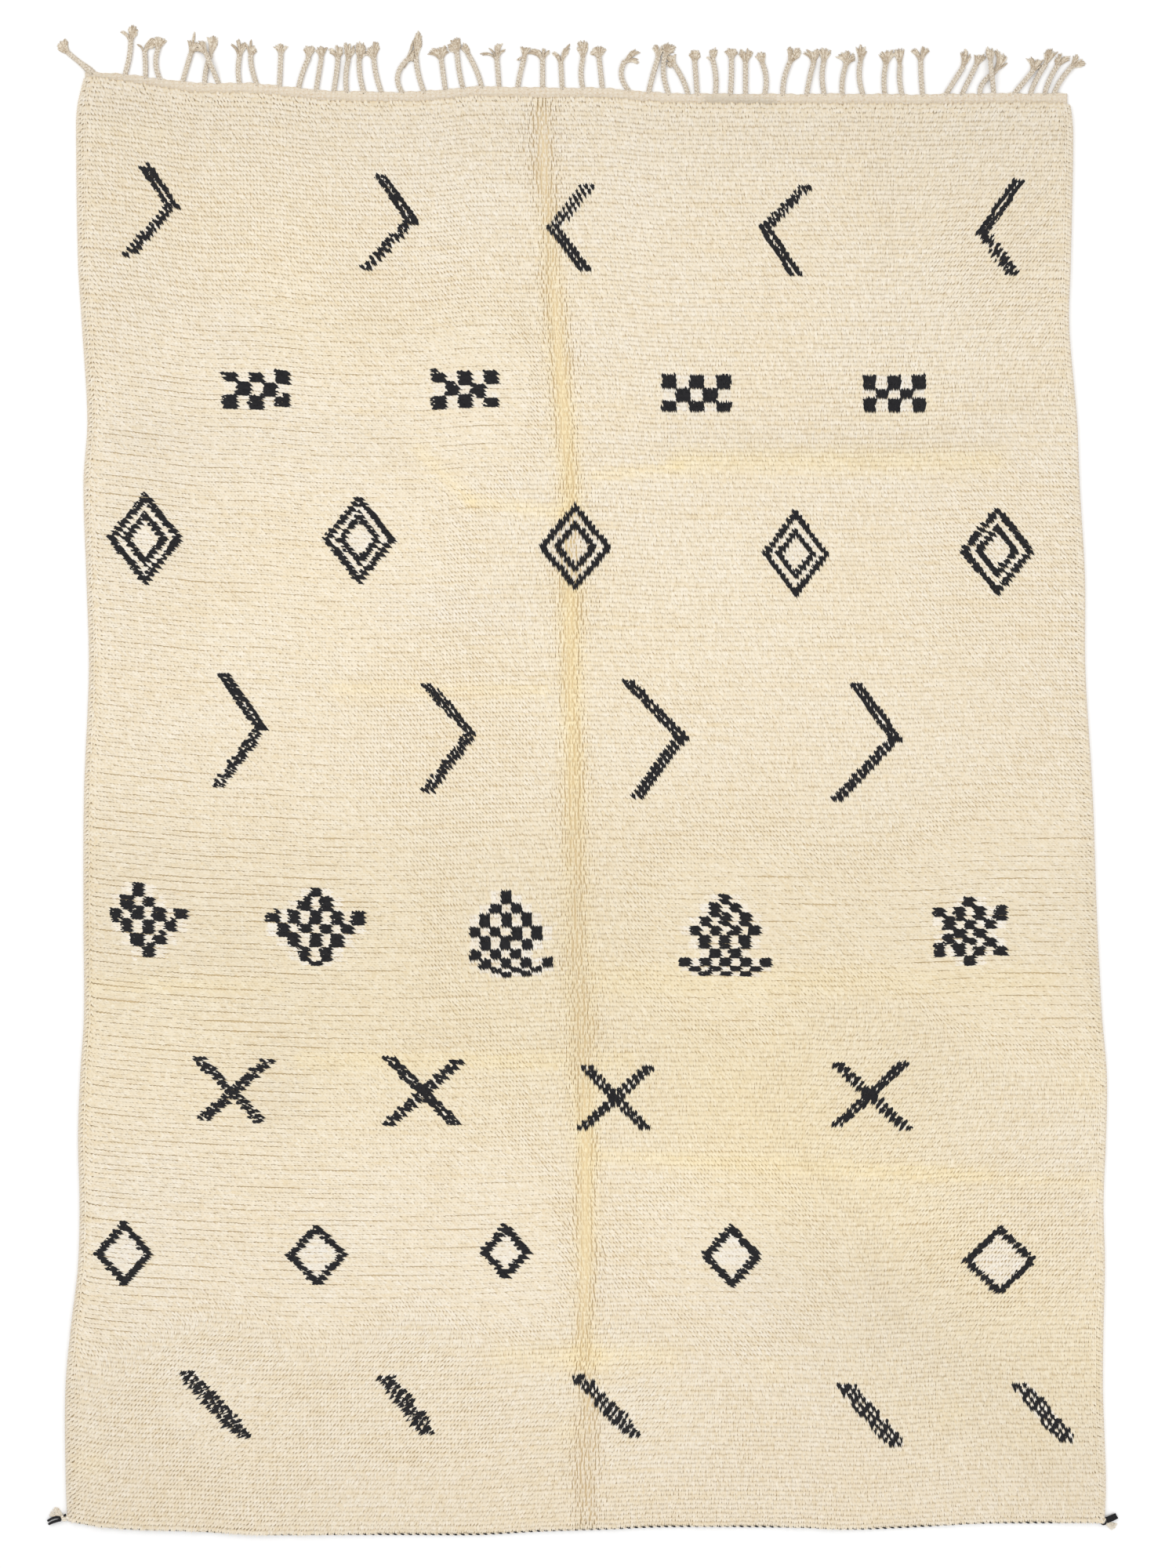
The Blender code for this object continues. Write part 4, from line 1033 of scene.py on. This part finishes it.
def ground():
    """The woven foundation under the nap, on the CAD's own relief, undercut over the twined cord."""
    width, rows = GROUND_COLUMNS + 1, GROUND_ROWS + 1
    x, y = field_place(*np.meshgrid(np.linspace(0, 1, width), np.linspace(0, 1, rows)))
    y[0] += GROUND_HEM_INSET
    top = nap_height(x, y) - GROUND_DROP
    lip = np.zeros_like(x)
    lip[:, 0], lip[:, -1] = -GROUND_LIP, GROUND_LIP
    points = np.stack([x + lip, y, top], -1).reshape(-1, 3).tolist()
    faces = grid_faces(rows, width)
    # the hem's underside, over the cord and down to the floor
    edges = [list(range(width))]
    for z in (UNDERCUT_HEIGHT - GROUND_DROP, 0.0):
        upper, first = edges[-1], len(points)
        points += [(x[0, j], hem_edge(x[0, j]) + UNDERCUT, z) for j in range(width)]
        lower = list(range(first, first + width))
        faces += [(upper[j], lower[j], lower[j + 1], upper[j + 1]) for j in range(width - 1)]
        edges.append(lower)
    _, recess, foot = edges
    # the other three walls, and the floor
    around = ([(i, width - 1) for i in range(1, rows)] + [(rows - 1, j) for j in range(width - 2, -1, -1)]
              + [(i, 0) for i in range(rows - 2, 0, -1)])
    rim = [i * width + j for i, j in around]
    first = len(points)
    points += [(x[i, j], y[i, j], 0.0) for i, j in around]
    base = list(range(first, first + len(around)))
    faces += [(rim[k], base[k], base[k + 1], rim[k + 1]) for k in range(len(around) - 1)]
    faces.append((width - 1, recess[-1], foot[-1], base[0], rim[0]))
    faces.append((rim[-1], base[-1], foot[0], recess[0], 0))
    faces.append(tuple(reversed(foot + base)))
    piece = rounded(new_piece("knotted_ground", points, faces, wool=CREAM_PILE))
    x, y = np.array(points)[:, :2].T
    # root paints the ground tan as the shade in the gaps between the ends, a little paler where the fold
    # opens the nap; dust is partly dust and partly painted shade
    store(piece.data, warmth=warmth(x, y), soil=soiling(x, y), dust=dusting(x, y),
          root=1.0 - PALER_AT_FOLD * unit(fold_stain(x, y)), spun=np.full(len(points), 0.5))
    return piece


# --- yarns, plaits and tufts ---------------------------------------------------------------------------

# A line in millimetres, with the yarn's radius and how deep in shade it lies at each of its points.
Yarn = namedtuple("Yarn", "points radii shades", defaults=(None,))


def yarn_tree():
    """Turns lines into round yarns with capped ends. Round each yarn it keeps a cosine and a sine, and the
    millimetres along it."""
    tree, given = new_tree("spin_yarns", {"Sides": "NodeSocketInt", "Wool": "NodeSocketMaterial"})
    radius = add(tree, "GeometryNodeInputNamedAttribute", {"Name": "radius_mm"}, data_type="FLOAT")
    size = add(tree, "ShaderNodeMath", {0: radius, 1: MM}, operation="MULTIPLY")
    line = add(tree, "GeometryNodeMeshToCurve", {"Mesh": given["Geometry"]})
    metres = add(tree, "GeometryNodeSplineParameter", out="Length")
    length = add(tree, "ShaderNodeMath", {0: metres, 1: 1 / MM}, operation="MULTIPLY")
    line = add(tree, "GeometryNodeStoreNamedAttribute", {"Geometry": line, "Name": "along", "Value": length},
               data_type="FLOAT", domain="POINT")
    ring = add(tree, "GeometryNodeCurvePrimitiveCircle", {"Resolution": given["Sides"], "Radius": 1.0})
    place = add(tree, "GeometryNodeInputPosition")
    ring = add(tree, "GeometryNodeStoreNamedAttribute", {"Geometry": ring, "Name": "ring", "Value": place},
               data_type="FLOAT_VECTOR", domain="POINT")
    tube = add(tree, "GeometryNodeCurveToMesh", {
        "Curve": line, "Profile Curve": ring, "Scale": size, "Fill Caps": True})
    ring_at = add(tree, "GeometryNodeInputNamedAttribute", {"Name": "ring"}, data_type="FLOAT_VECTOR")
    along_at = add(tree, "GeometryNodeInputNamedAttribute", {"Name": "along"}, data_type="FLOAT")
    cosine, sine, _ = add(tree, "ShaderNodeSeparateXYZ", {0: ring_at}).node.outputs
    around = add(tree, "ShaderNodeCombineXYZ", {0: cosine, 1: sine, 2: along_at})
    tube = add(tree, "GeometryNodeStoreNamedAttribute", {
        "Geometry": tube, "Name": "around", "Value": around}, data_type="FLOAT_VECTOR", domain="POINT")
    return finish_tree(tree, tube, given["Wool"])


YARN_TREE = yarn_tree()


def spin(name, yarns, sides, wool):
    """One mesh of round yarns along lines in millimetres."""
    points, edges, radii, shades = [], [], [], []
    for yarn in yarns:
        first = len(points)
        points += list(yarn.points)
        radii += list(yarn.radii)
        shades += list(yarn.shades or [0.0] * len(yarn.points))
        edges += [(i, i + 1) for i in range(first, len(points) - 1)]
    lines = new_piece(name + "_lines", points, edges=edges)
    store(lines.data, radius_mm=radii, shade=shades)
    values = {"Sides": sides, "Wool": wool}
    return rounded(grown(name, lines, YARN_TREE, values, spent=("ring", "along", "radius_mm")))


STRAND_RADIUS = 2.6
STRAND_SWING = 3.1            # how far each strand swings to each side of the plait
STRAND_RISE = 1.2             # and up and down as it crosses the others
PLAIT_TURN = 20.0             # length of plait in which each strand comes back to its side
STRAND_STEP = 2.5
PLAIT_TUCK = 5.0              # how far a plait's strands start in under the strip's face
PLAIT_ROOT = 8.0              # length of plait over which they come out of it
PLAIT_ROOT_HEIGHT = 2.6
PLAIT_ROOT_PART = 0.8         # their thickness there


def plait_line(tassel, t):
    """The plait's middle line in plan, and its lift over a neighbour."""
    root = np.array([tassel.x, float(top_edge(tassel.x))])
    end = root + (tassel.lean, tassel.reach)
    place = blend(root, end, t) + np.array([tassel.bow * 4 * t * (1 - t), 0.0])
    rise = unit(t / LIFT_TIME)
    return place, tassel.lift * rise * rise * (3 - 2 * rise)


def plait_strands(tassel, width):
    """The three strands of one plait, from under the strip's face to where they part."""
    length = float(np.hypot(tassel.lean, tassel.reach))
    steps = int((length + PLAIT_TUCK) / STRAND_STEP)
    start = rng.uniform(0, 2 * pi)
    strands = []
    for number in range(3):
        points, radii, shades = [], [], []
        for i in range(steps + 1):
            t = blend(-PLAIT_TUCK / length, 1.0, i / steps)
            scale = blend(width, PLAIT_WIDTH, unit(2 * t)) / PLAIT_WIDTH
            place, lift = plait_line(tassel, t)
            ahead = plait_line(tassel, t + 0.01)[0] - place
            side = np.array([-ahead[1], ahead[0]]) / np.hypot(*ahead)
            phase = start + 2 * pi * (t * length / PLAIT_TURN + number / 3)
            place = place + side * scale * STRAND_SWING * sin(phase)
            z = (STRAND_RADIUS + STRAND_RISE) * scale + STRAND_RISE * scale * sin(2 * phase) + lift
            root = unit(1.0 - t * length / PLAIT_ROOT)
            points.append((*place, blend(z, PLAIT_ROOT_HEIGHT, root)))
            radii.append(STRAND_RADIUS * scale * blend(1.0, PLAIT_ROOT_PART, root))
            shades.append(0.5 - 0.5 * sin(2 * phase))
        strands.append(Yarn(points, radii, shades))
    return strands


# The tufts in two layers: how far apart the tips are, their radius, and the heights they leave the plait at.
TUFT_LAYERS = named_rows("pitch radius low high", ((2.8, 1.9, 2.0, 4.0), (4.0, 1.3, 4.0, 6.4)))
LOCK_PROFILE = (0.8, 1.0, 1.12, 1.15, 1.05, 0.85, 0.35)    # its radius from the plait to the cut end
LOCK_LONG = 1.17              # the locks' length as a part of the chart's: the longest reaches past it
LOCK_RAGGED = 0.24            # how much shorter a lock may be cut than its neighbours
LOCK_TUCK = 5.0               # how far inside the plait's end it starts
LOCK_SPREAD = 0.3             # of the plait's width over which the locks leave it
LOCK_KNEE = (0.28, 0.3)       # its bend, along the plait and towards its tip, as parts of its reach
LOCK_SHADE = 0.75             # where it leaves the plait
TIP_SHADES = (0.0, 0.15, 0.8, 1.0)
TIP_SHADE_FROM = 0.6          # of the way to the tip
LOCK_STRAY = 0.3              # of the pitch
LOCK_SETTLES = 0.3            # how much of a lifted plait's lift its locks lose last


def tuft_locks(tassel, lobes):
    """The cut warps beyond a plait: locks that leave it side by side and fan out to their charted tips."""
    end, lift = plait_line(tassel, 1.0)
    ahead = end - plait_line(tassel, 0.9)[0]
    ahead = ahead / np.hypot(*ahead)
    plait_side = np.array([ahead[1], -ahead[0]])
    locks = []
    for lobe in lobes:
        tips = np.array(lobe, float)
        stops = np.append(0.0, np.cumsum(np.hypot(*np.diff(tips, axis=0).T)))
        for layer in TUFT_LAYERS:
            count = max(2, round(stops[-1] / layer.pitch) + 1)
            for stop in np.linspace(0.0, stops[-1], count) + stray(LOCK_STRAY, count) * layer.pitch:
                tip = np.array([np.interp(stop, stops, way) for way in tips.T])
                tip = tip * (LOCK_LONG - rng.uniform(0.0, LOCK_RAGGED))
                reach = float(np.hypot(*tip))
                off = float(np.clip((tip / reach) @ plait_side, -1.0, 1.0))
                start = end + plait_side * PLAIT_WIDTH * LOCK_SPREAD * off - ahead * LOCK_TUCK
                knee = end + ahead * reach * LOCK_KNEE[0] + tip * LOCK_KNEE[1]
                leaves = rng.uniform(layer.low, layer.high) + lift
                deep = rng.choice(TIP_SHADES)
                points, shades = [], []
                for t in np.linspace(0.0, 1.0, len(LOCK_PROFILE)):
                    place = start * (1 - t) ** 2 + knee * 2 * t * (1 - t) + (end + tip) * t * t
                    lands = layer.radius + LOCK_SETTLES * lift * (1 - t)
                    points.append((*place, blend(leaves, lands, t)))
                    shades.append(blend(LOCK_SHADE, deep, unit(t / TIP_SHADE_FROM)))
                locks.append(Yarn(points, [layer.radius * part for part in LOCK_PROFILE], shades))
    return locks


def fringe():
    """All the plaits as one piece, and all their tufts as another."""
    strands, locks = [], []
    for number, (tassel, lobes) in enumerate(zip(TASSELS, TUFTS, strict=True)):
        strands += plait_strands(tassel, PLAIT_WIDTH if number else CORNER_PLAIT_WIDTH)
        locks += tuft_locks(tassel, lobes)
    return spin("plaited_warps", strands, 6, WARP_YARN), spin("cut_tufts", locks, 4, CUT_YARN)


# --- the woven strip, the selvedges and the twined cord ------------------------------------------------

BAND_STEP = 3.5
BAND_RIBS = 8                 # rounded ribs of beaten weft across the strip
BAND_RIB_DEPTH = 0.45
BAND_EDGE_DROP = 1.2
BAND_LUMPS = ((0.72, 7.3, 0.0), (0.63, 3.1, 1.0), (0.63, 19.0, 0.0))    # of its outer edge


def woven_strip():
    """The flat-woven strip, ribbed along its length, with a slightly lumpy outer edge."""
    start = float(left_edge(top_edge(TASSELS[0].x)))
    end = float(right_edge(top_edge(TASSELS[-1].x)))
    across = np.linspace(start, end, round((end - start) / BAND_STEP) + 1)
    outer = top_edge(across) + ripple(across, *BAND_LUMPS)
    inner = top_edge(across) - band_width(across)
    steps = 2 * BAND_RIBS
    points = []
    for k in range(steps + 1):
        y = blend(outer, inner, k / steps)
        ribs = BAND_RIB_DEPTH if k % 2 == 0 else 0.0
        edge_drop = BAND_EDGE_DROP if k in (0, steps) else 0.0
        z = BAND_HEIGHT - ribs - edge_drop + ripple(across, (0.2, 9.0, k))
        points += np.stack([across, y, z], -1).tolist()
    count, low = len(across), len(points)
    for edge in (outer, inner):
        points += np.stack([across, edge, 0 * across], -1).tolist()
    faces = grid_faces(steps + 1, count)
    last, far = steps * count, low + count
    for i in range(count - 1):
        faces.append((i + 1, low + i + 1, low + i, i))
        faces.append((last + i, far + i, far + i + 1, last + i + 1))
        faces.append((low + i, low + i + 1, far + i + 1, far + i))
    for i in (0, count - 1):
        faces.append(tuple(k * count + i for k in range(steps + 1)) + (far + i, low + i))
    piece = rounded(new_piece("woven_strip", points, faces, wool=WOVEN))
    x, y = np.array(points)[:, :2].T
    # the strip greys by dust and painted shade, without the painted shade towards the sides
    store(piece.data, dust=dusting(x, y) - dust_at_sides(x))
    return piece


WRAP_PITCH = 5.0
WRAP_SIDES = 8
WRAP_SLANT = 1.6
WRAP_VALLEY = 0.86            # between two turns, as a part of the radius on one
WRAP_CROWN = 1.06
SELVEDGE_FOOT = 4.0           # above the hem, where the overcasting ends on the twined cord
SELVEDGE_TOP = 0.4            # past the pile, up to the strip
HEM_CORNER_Y = -1500.0        # about where the long edges meet the hem, and the strip
STRIP_CORNER_Y = 1430.0


def selvedge(name, edge, outward):
    """Edge warps overcast with a thick yarn: one slanting ridge for every turn."""
    start = float(hem_edge(edge(HEM_CORNER_Y))) + SELVEDGE_FOOT
    end = float(pile_end(edge(STRIP_CORNER_Y))) + SELVEDGE_TOP
    rings = 2 * round((end - start) / WRAP_PITCH) + 1
    y = np.linspace(start, end, rings)
    x = edge(y) - outward * (SELVEDGE_WIDTH / 2)
    points, around = [], []
    for i in range(rings):
        ridge = 1.0 if i % 2 == 0 else WRAP_VALLEY
        slant = WRAP_SLANT * (0 < i < rings - 1)
        for k in range(WRAP_SIDES):
            angle = 2 * pi * k / WRAP_SIDES
            z = max(SELVEDGE_HEIGHT / 2 * (1.0 + WRAP_CROWN * ridge * sin(angle)), 0.0)
            points.append((x[i] + SELVEDGE_WIDTH / 2 * ridge * cos(angle), y[i] + slant * sin(angle), z))
            around.append((cos(angle), sin(angle), y[i] - start))
    faces = grid_faces(rings, WRAP_SIDES, closed=True)
    faces += [tuple(range(first, first + WRAP_SIDES)) for first in (0, (rings - 1) * WRAP_SIDES)]
    piece = rounded(new_piece(name, points, faces, wool=BINDING_YARN))
    store(piece.data, around=around)
    return piece


CORD_STEPS = 8                # points to one turn of the twine
CORD_YARN_RADIUS = 2.6
CORD_PROUD = 1.5              # its yarns bulge out past the CAD's plain cord


def twined_cord(name, phase, wool):
    """One of the two yarns that twine round each other along the hem."""
    turns = round((CORD_RIGHT - CORD_LEFT) / CORD_TWIST)
    x = np.linspace(CORD_LEFT, CORD_RIGHT, turns * CORD_STEPS + 1)
    angle = 2 * pi * np.arange(len(x)) / CORD_STEPS + phase
    swing = CORD_RADIUS - CORD_YARN_RADIUS
    y = hem_edge(x) + CORD_RADIUS - CORD_OUT - CORD_PROUD + swing * np.cos(angle)
    z = CORD_RADIUS + swing * np.sin(angle)
    line = Yarn(np.stack([x, y, z], -1).tolist(), [CORD_YARN_RADIUS] * len(x))
    return spin(name, [line], 6, wool)


# --- the corner tassels --------------------------------------------------------------------------------

def bent(points, radius, steps, end_radius=None):
    """A yarn through a few points, on a smooth curve."""
    points = np.array(points, float)
    at = np.linspace(0, len(points) - 1, steps * (len(points) - 1) + 1)
    line = np.stack([smooth(at, np.arange(len(points)), way) for way in points.T], -1)
    return Yarn(line.tolist(), np.linspace(radius, end_radius or radius, len(at)).tolist())


BRUSH_STRAY = 0.8
BRUSH_BEND = 0.6
BRUSH_TIP = 0.75              # a yarn's radius at its tip, as a part of the one at its start


def brush(starts, tips, count, radius, heights):
    """A bundle of yarns from a short row of starts to a row of tips, in the same order."""
    low, high = heights
    made = []
    for part in np.linspace(0.0, 1.0, count):
        ends = []
        for row in (np.array(starts, float), np.array(tips, float)):
            place = part * (len(row) - 1)
            k = min(int(place), len(row) - 2)
            ends.append(blend(row[k], row[k + 1], place - k) + stray(BRUSH_STRAY, 2))
        middle = blend(*ends, 0.5) + stray(BRUSH_BEND, 2)
        line = [
            (*ends[0], rng.uniform(blend(low, high, 0.5), high)),
            (*middle, rng.uniform(low, high)),
            (*ends[1], rng.uniform(radius, low + radius)),
        ]
        made.append(bent(line, radius, 4, radius * BRUSH_TIP))
    return made


RIGHT_LOOP = (1066.5, -1515.5, 7.0)
RIGHT_LOOP_RADIUS = 4.6


def corner_tassels():
    """The twined cord's knotted ends: at the left a charcoal loop, a cream knot and tuft; at the right a
    small charcoal loop, a charcoal bundle and a cream tuft."""
    left_dark = [
        bent([(-1066, -1507, 5.5), (-1073, -1505.5, 6), (-1083, -1508.5, 5), (-1092, -1514, 3)],
             2.9, 6, end_radius=2.3),
        bent([(-1067, -1511.5, 5.5), (-1074, -1513.5, 6), (-1082, -1516.5, 5), (-1090, -1520.5, 3)],
             3.1, 6, end_radius=2.5),
        bent([(-1067.5, -1505, 6), (-1065.5, -1509, 7), (-1067.5, -1513, 6)], 3.0, 5),
        bent([(-1053.5, -1499.5, 10), (-1058, -1502, 9.5)], 2.5, 3),
    ]
    tips = [(-1089, -1504), (-1085, -1495), (-1077, -1486), (-1069, -1489), (-1064, -1499)]
    left_light = brush([(-1072, -1506), (-1064, -1502)], tips, 19, 1.0, (1.5, 4.5))
    knot = [(-1046, -1506, 4), (-1054, -1502, 6), (-1063, -1505, 6), (-1060, -1512, 5), (-1052, -1511, 5)]
    left_light += [
        bent(knot, 2.4, 5),
        bent([(-1044, -1509, 6), (-1054, -1507, 7), (-1063, -1509, 5)], 2.8, 5),
        bent([(-1036, -1514, 6), (-1044, -1511, 8), (-1050, -1506, 8), (-1053, -1501, 6)], 3.2, 5),
    ]
    x, y, z = RIGHT_LOOP
    turn = [radians(degrees) for degrees in range(160, 381, 20)]
    loop = [(x + RIGHT_LOOP_RADIUS * cos(a), y + RIGHT_LOOP_RADIUS * sin(a), z) for a in turn]
    right_dark = [bent(loop, 1.9, 2)]
    right_dark += brush([(1071, -1507), (1074, -1516)], [(1091, -1499), (1096, -1508)], 22, 1.8, (2.5, 7.0))
    tips = [(1095, -1520), (1092, -1527), (1085, -1533)]
    right_light = brush([(1074, -1516), (1070, -1518)], tips, 14, 0.9, (1.2, 3.5))
    right_light += [
        bent([(1061, -1506, 7), (1066, -1515, 8), (1070, -1508, 7)], 2.0, 5),
        bent([(1052, -1513, 6), (1059, -1511, 7.5), (1062, -1505, 7)], 3.0, 5),
    ]
    return {
        side: (spin(f"corner_tassel_{side}_charcoal", dark, 6, CHARCOAL_YARN),
               spin(f"corner_tassel_{side}_cream", light, 5, CREAM_YARN))
        for side, dark, light in (("left", left_dark, left_light), ("right", right_dark, right_light))
    }


# --- the scene -----------------------------------------------------------------------------------------

CAMERA_X = 12.6               # the photograph's middle, in the frame
CAMERA_Y = -6.4
CAMERA_HEIGHT = 6.0
SEEN_LENGTH = 3.2             # metres of floor that the picture's long side takes in
SENSOR = 36.0
FLOOR_HALF = 12.0
FLOOR_DROP = 0.0004           # under the rug, so that the two faces don't meet


def camera():
    data = bpy.data.cameras.new("camera")
    data.sensor_width = SENSOR
    data.lens = SENSOR * (CAMERA_HEIGHT - PILE_HEIGHT * MM) / SEEN_LENGTH
    eye = in_scene("camera", data)
    eye.location = (CAMERA_X * MM, CAMERA_Y * MM, CAMERA_HEIGHT)
    bpy.context.scene.camera = eye


def softbox(name, place, size, power):
    """A round soft light that faces the rug's middle."""
    data = bpy.data.lights.new(name, "AREA")
    data.shape = "DISK"
    data.size = size
    data.energy = power
    light = in_scene(name, data)
    light.location = place
    light.rotation_euler = (-Vector(place)).to_track_quat("-Z", "Y").to_euler()


def floor():
    material, _, shader = new_material("white_studio_floor", 0.9)
    shader.inputs["Base Color"].default_value = (0.96, 0.96, 0.96, 1.0)
    mesh = bpy.data.meshes.new("floor")
    corners = [(x * FLOOR_HALF, y * FLOOR_HALF, 0) for x, y in ((-1, -1), (1, -1), (1, 1), (-1, 1))]
    mesh.from_pydata(corners, [], [(0, 1, 2, 3)])
    mesh.materials.append(material)
    plane = in_scene("floor", mesh)
    plane.location.z = -FLOOR_DROP


def studio():
    """Soft, nearly even light from above, a little stronger from the upper left."""
    softbox("softbox_left", (-3.4, 2.6, 5.0), 4.0, 99.0)
    softbox("softbox_right", (3.6, -1.8, 5.2), 4.5, 79.0)
    world = bpy.data.worlds.new("studio")
    world.use_nodes = True
    background = world.node_tree.nodes["Background"].inputs
    background["Color"].default_value = (1.0, 1.0, 1.0, 1.0)
    background["Strength"].default_value = 0.85
    bpy.context.scene.world = world
    bpy.context.scene.view_settings.view_transform = "Standard"


camera()
studio()
floor()

cream_pieces, charcoal_piece = pile()
knotted_ground = ground()
strip = woven_strip()
plaits, tufts = fringe()
left_selvedge = selvedge("overcast_selvedge_left", left_edge, -1)
right_selvedge = selvedge("overcast_selvedge_right", right_edge, 1)
cord_charcoal = twined_cord("twined_cord_charcoal", 0.0, CHARCOAL_YARN)
cord_cream = twined_cord("twined_cord_cream", pi, CREAM_YARN)
corners = corner_tassels()

# Each piece, the name of a finish slot, which this script doesn't use, and the CAD node that it stands for,
# which is hidden.
DRESSINGS = named_rows("piece slot stands_for", (
    *((piece, "pile_wool", None) for piece in cream_pieces),
    (charcoal_piece, "charcoal_wool", None),
    (knotted_ground, "pile_wool", "pile_field"),
    (strip, "warp_wool", "fringe_band"),
    (plaits, "warp_wool", "fringe_band"),
    (tufts, "warp_wool", "fringe_band"),
    (left_selvedge, "binding_wool", "selvedge_left"),
    (right_selvedge, "binding_wool", "selvedge_right"),
    (cord_charcoal, "charcoal_wool", "header_cord"),
    (cord_cream, "pile_wool", "header_cord"),
    *((corners[side][0], "charcoal_wool", f"corner_tassel_{side}") for side in corners),
    *((corners[side][1], "pile_wool", f"corner_tassel_{side}") for side in corners),
))
for dressing in DRESSINGS:
    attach(dressing.piece, "root")
    if dressing.stands_for:
        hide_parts(dressing.stands_for)
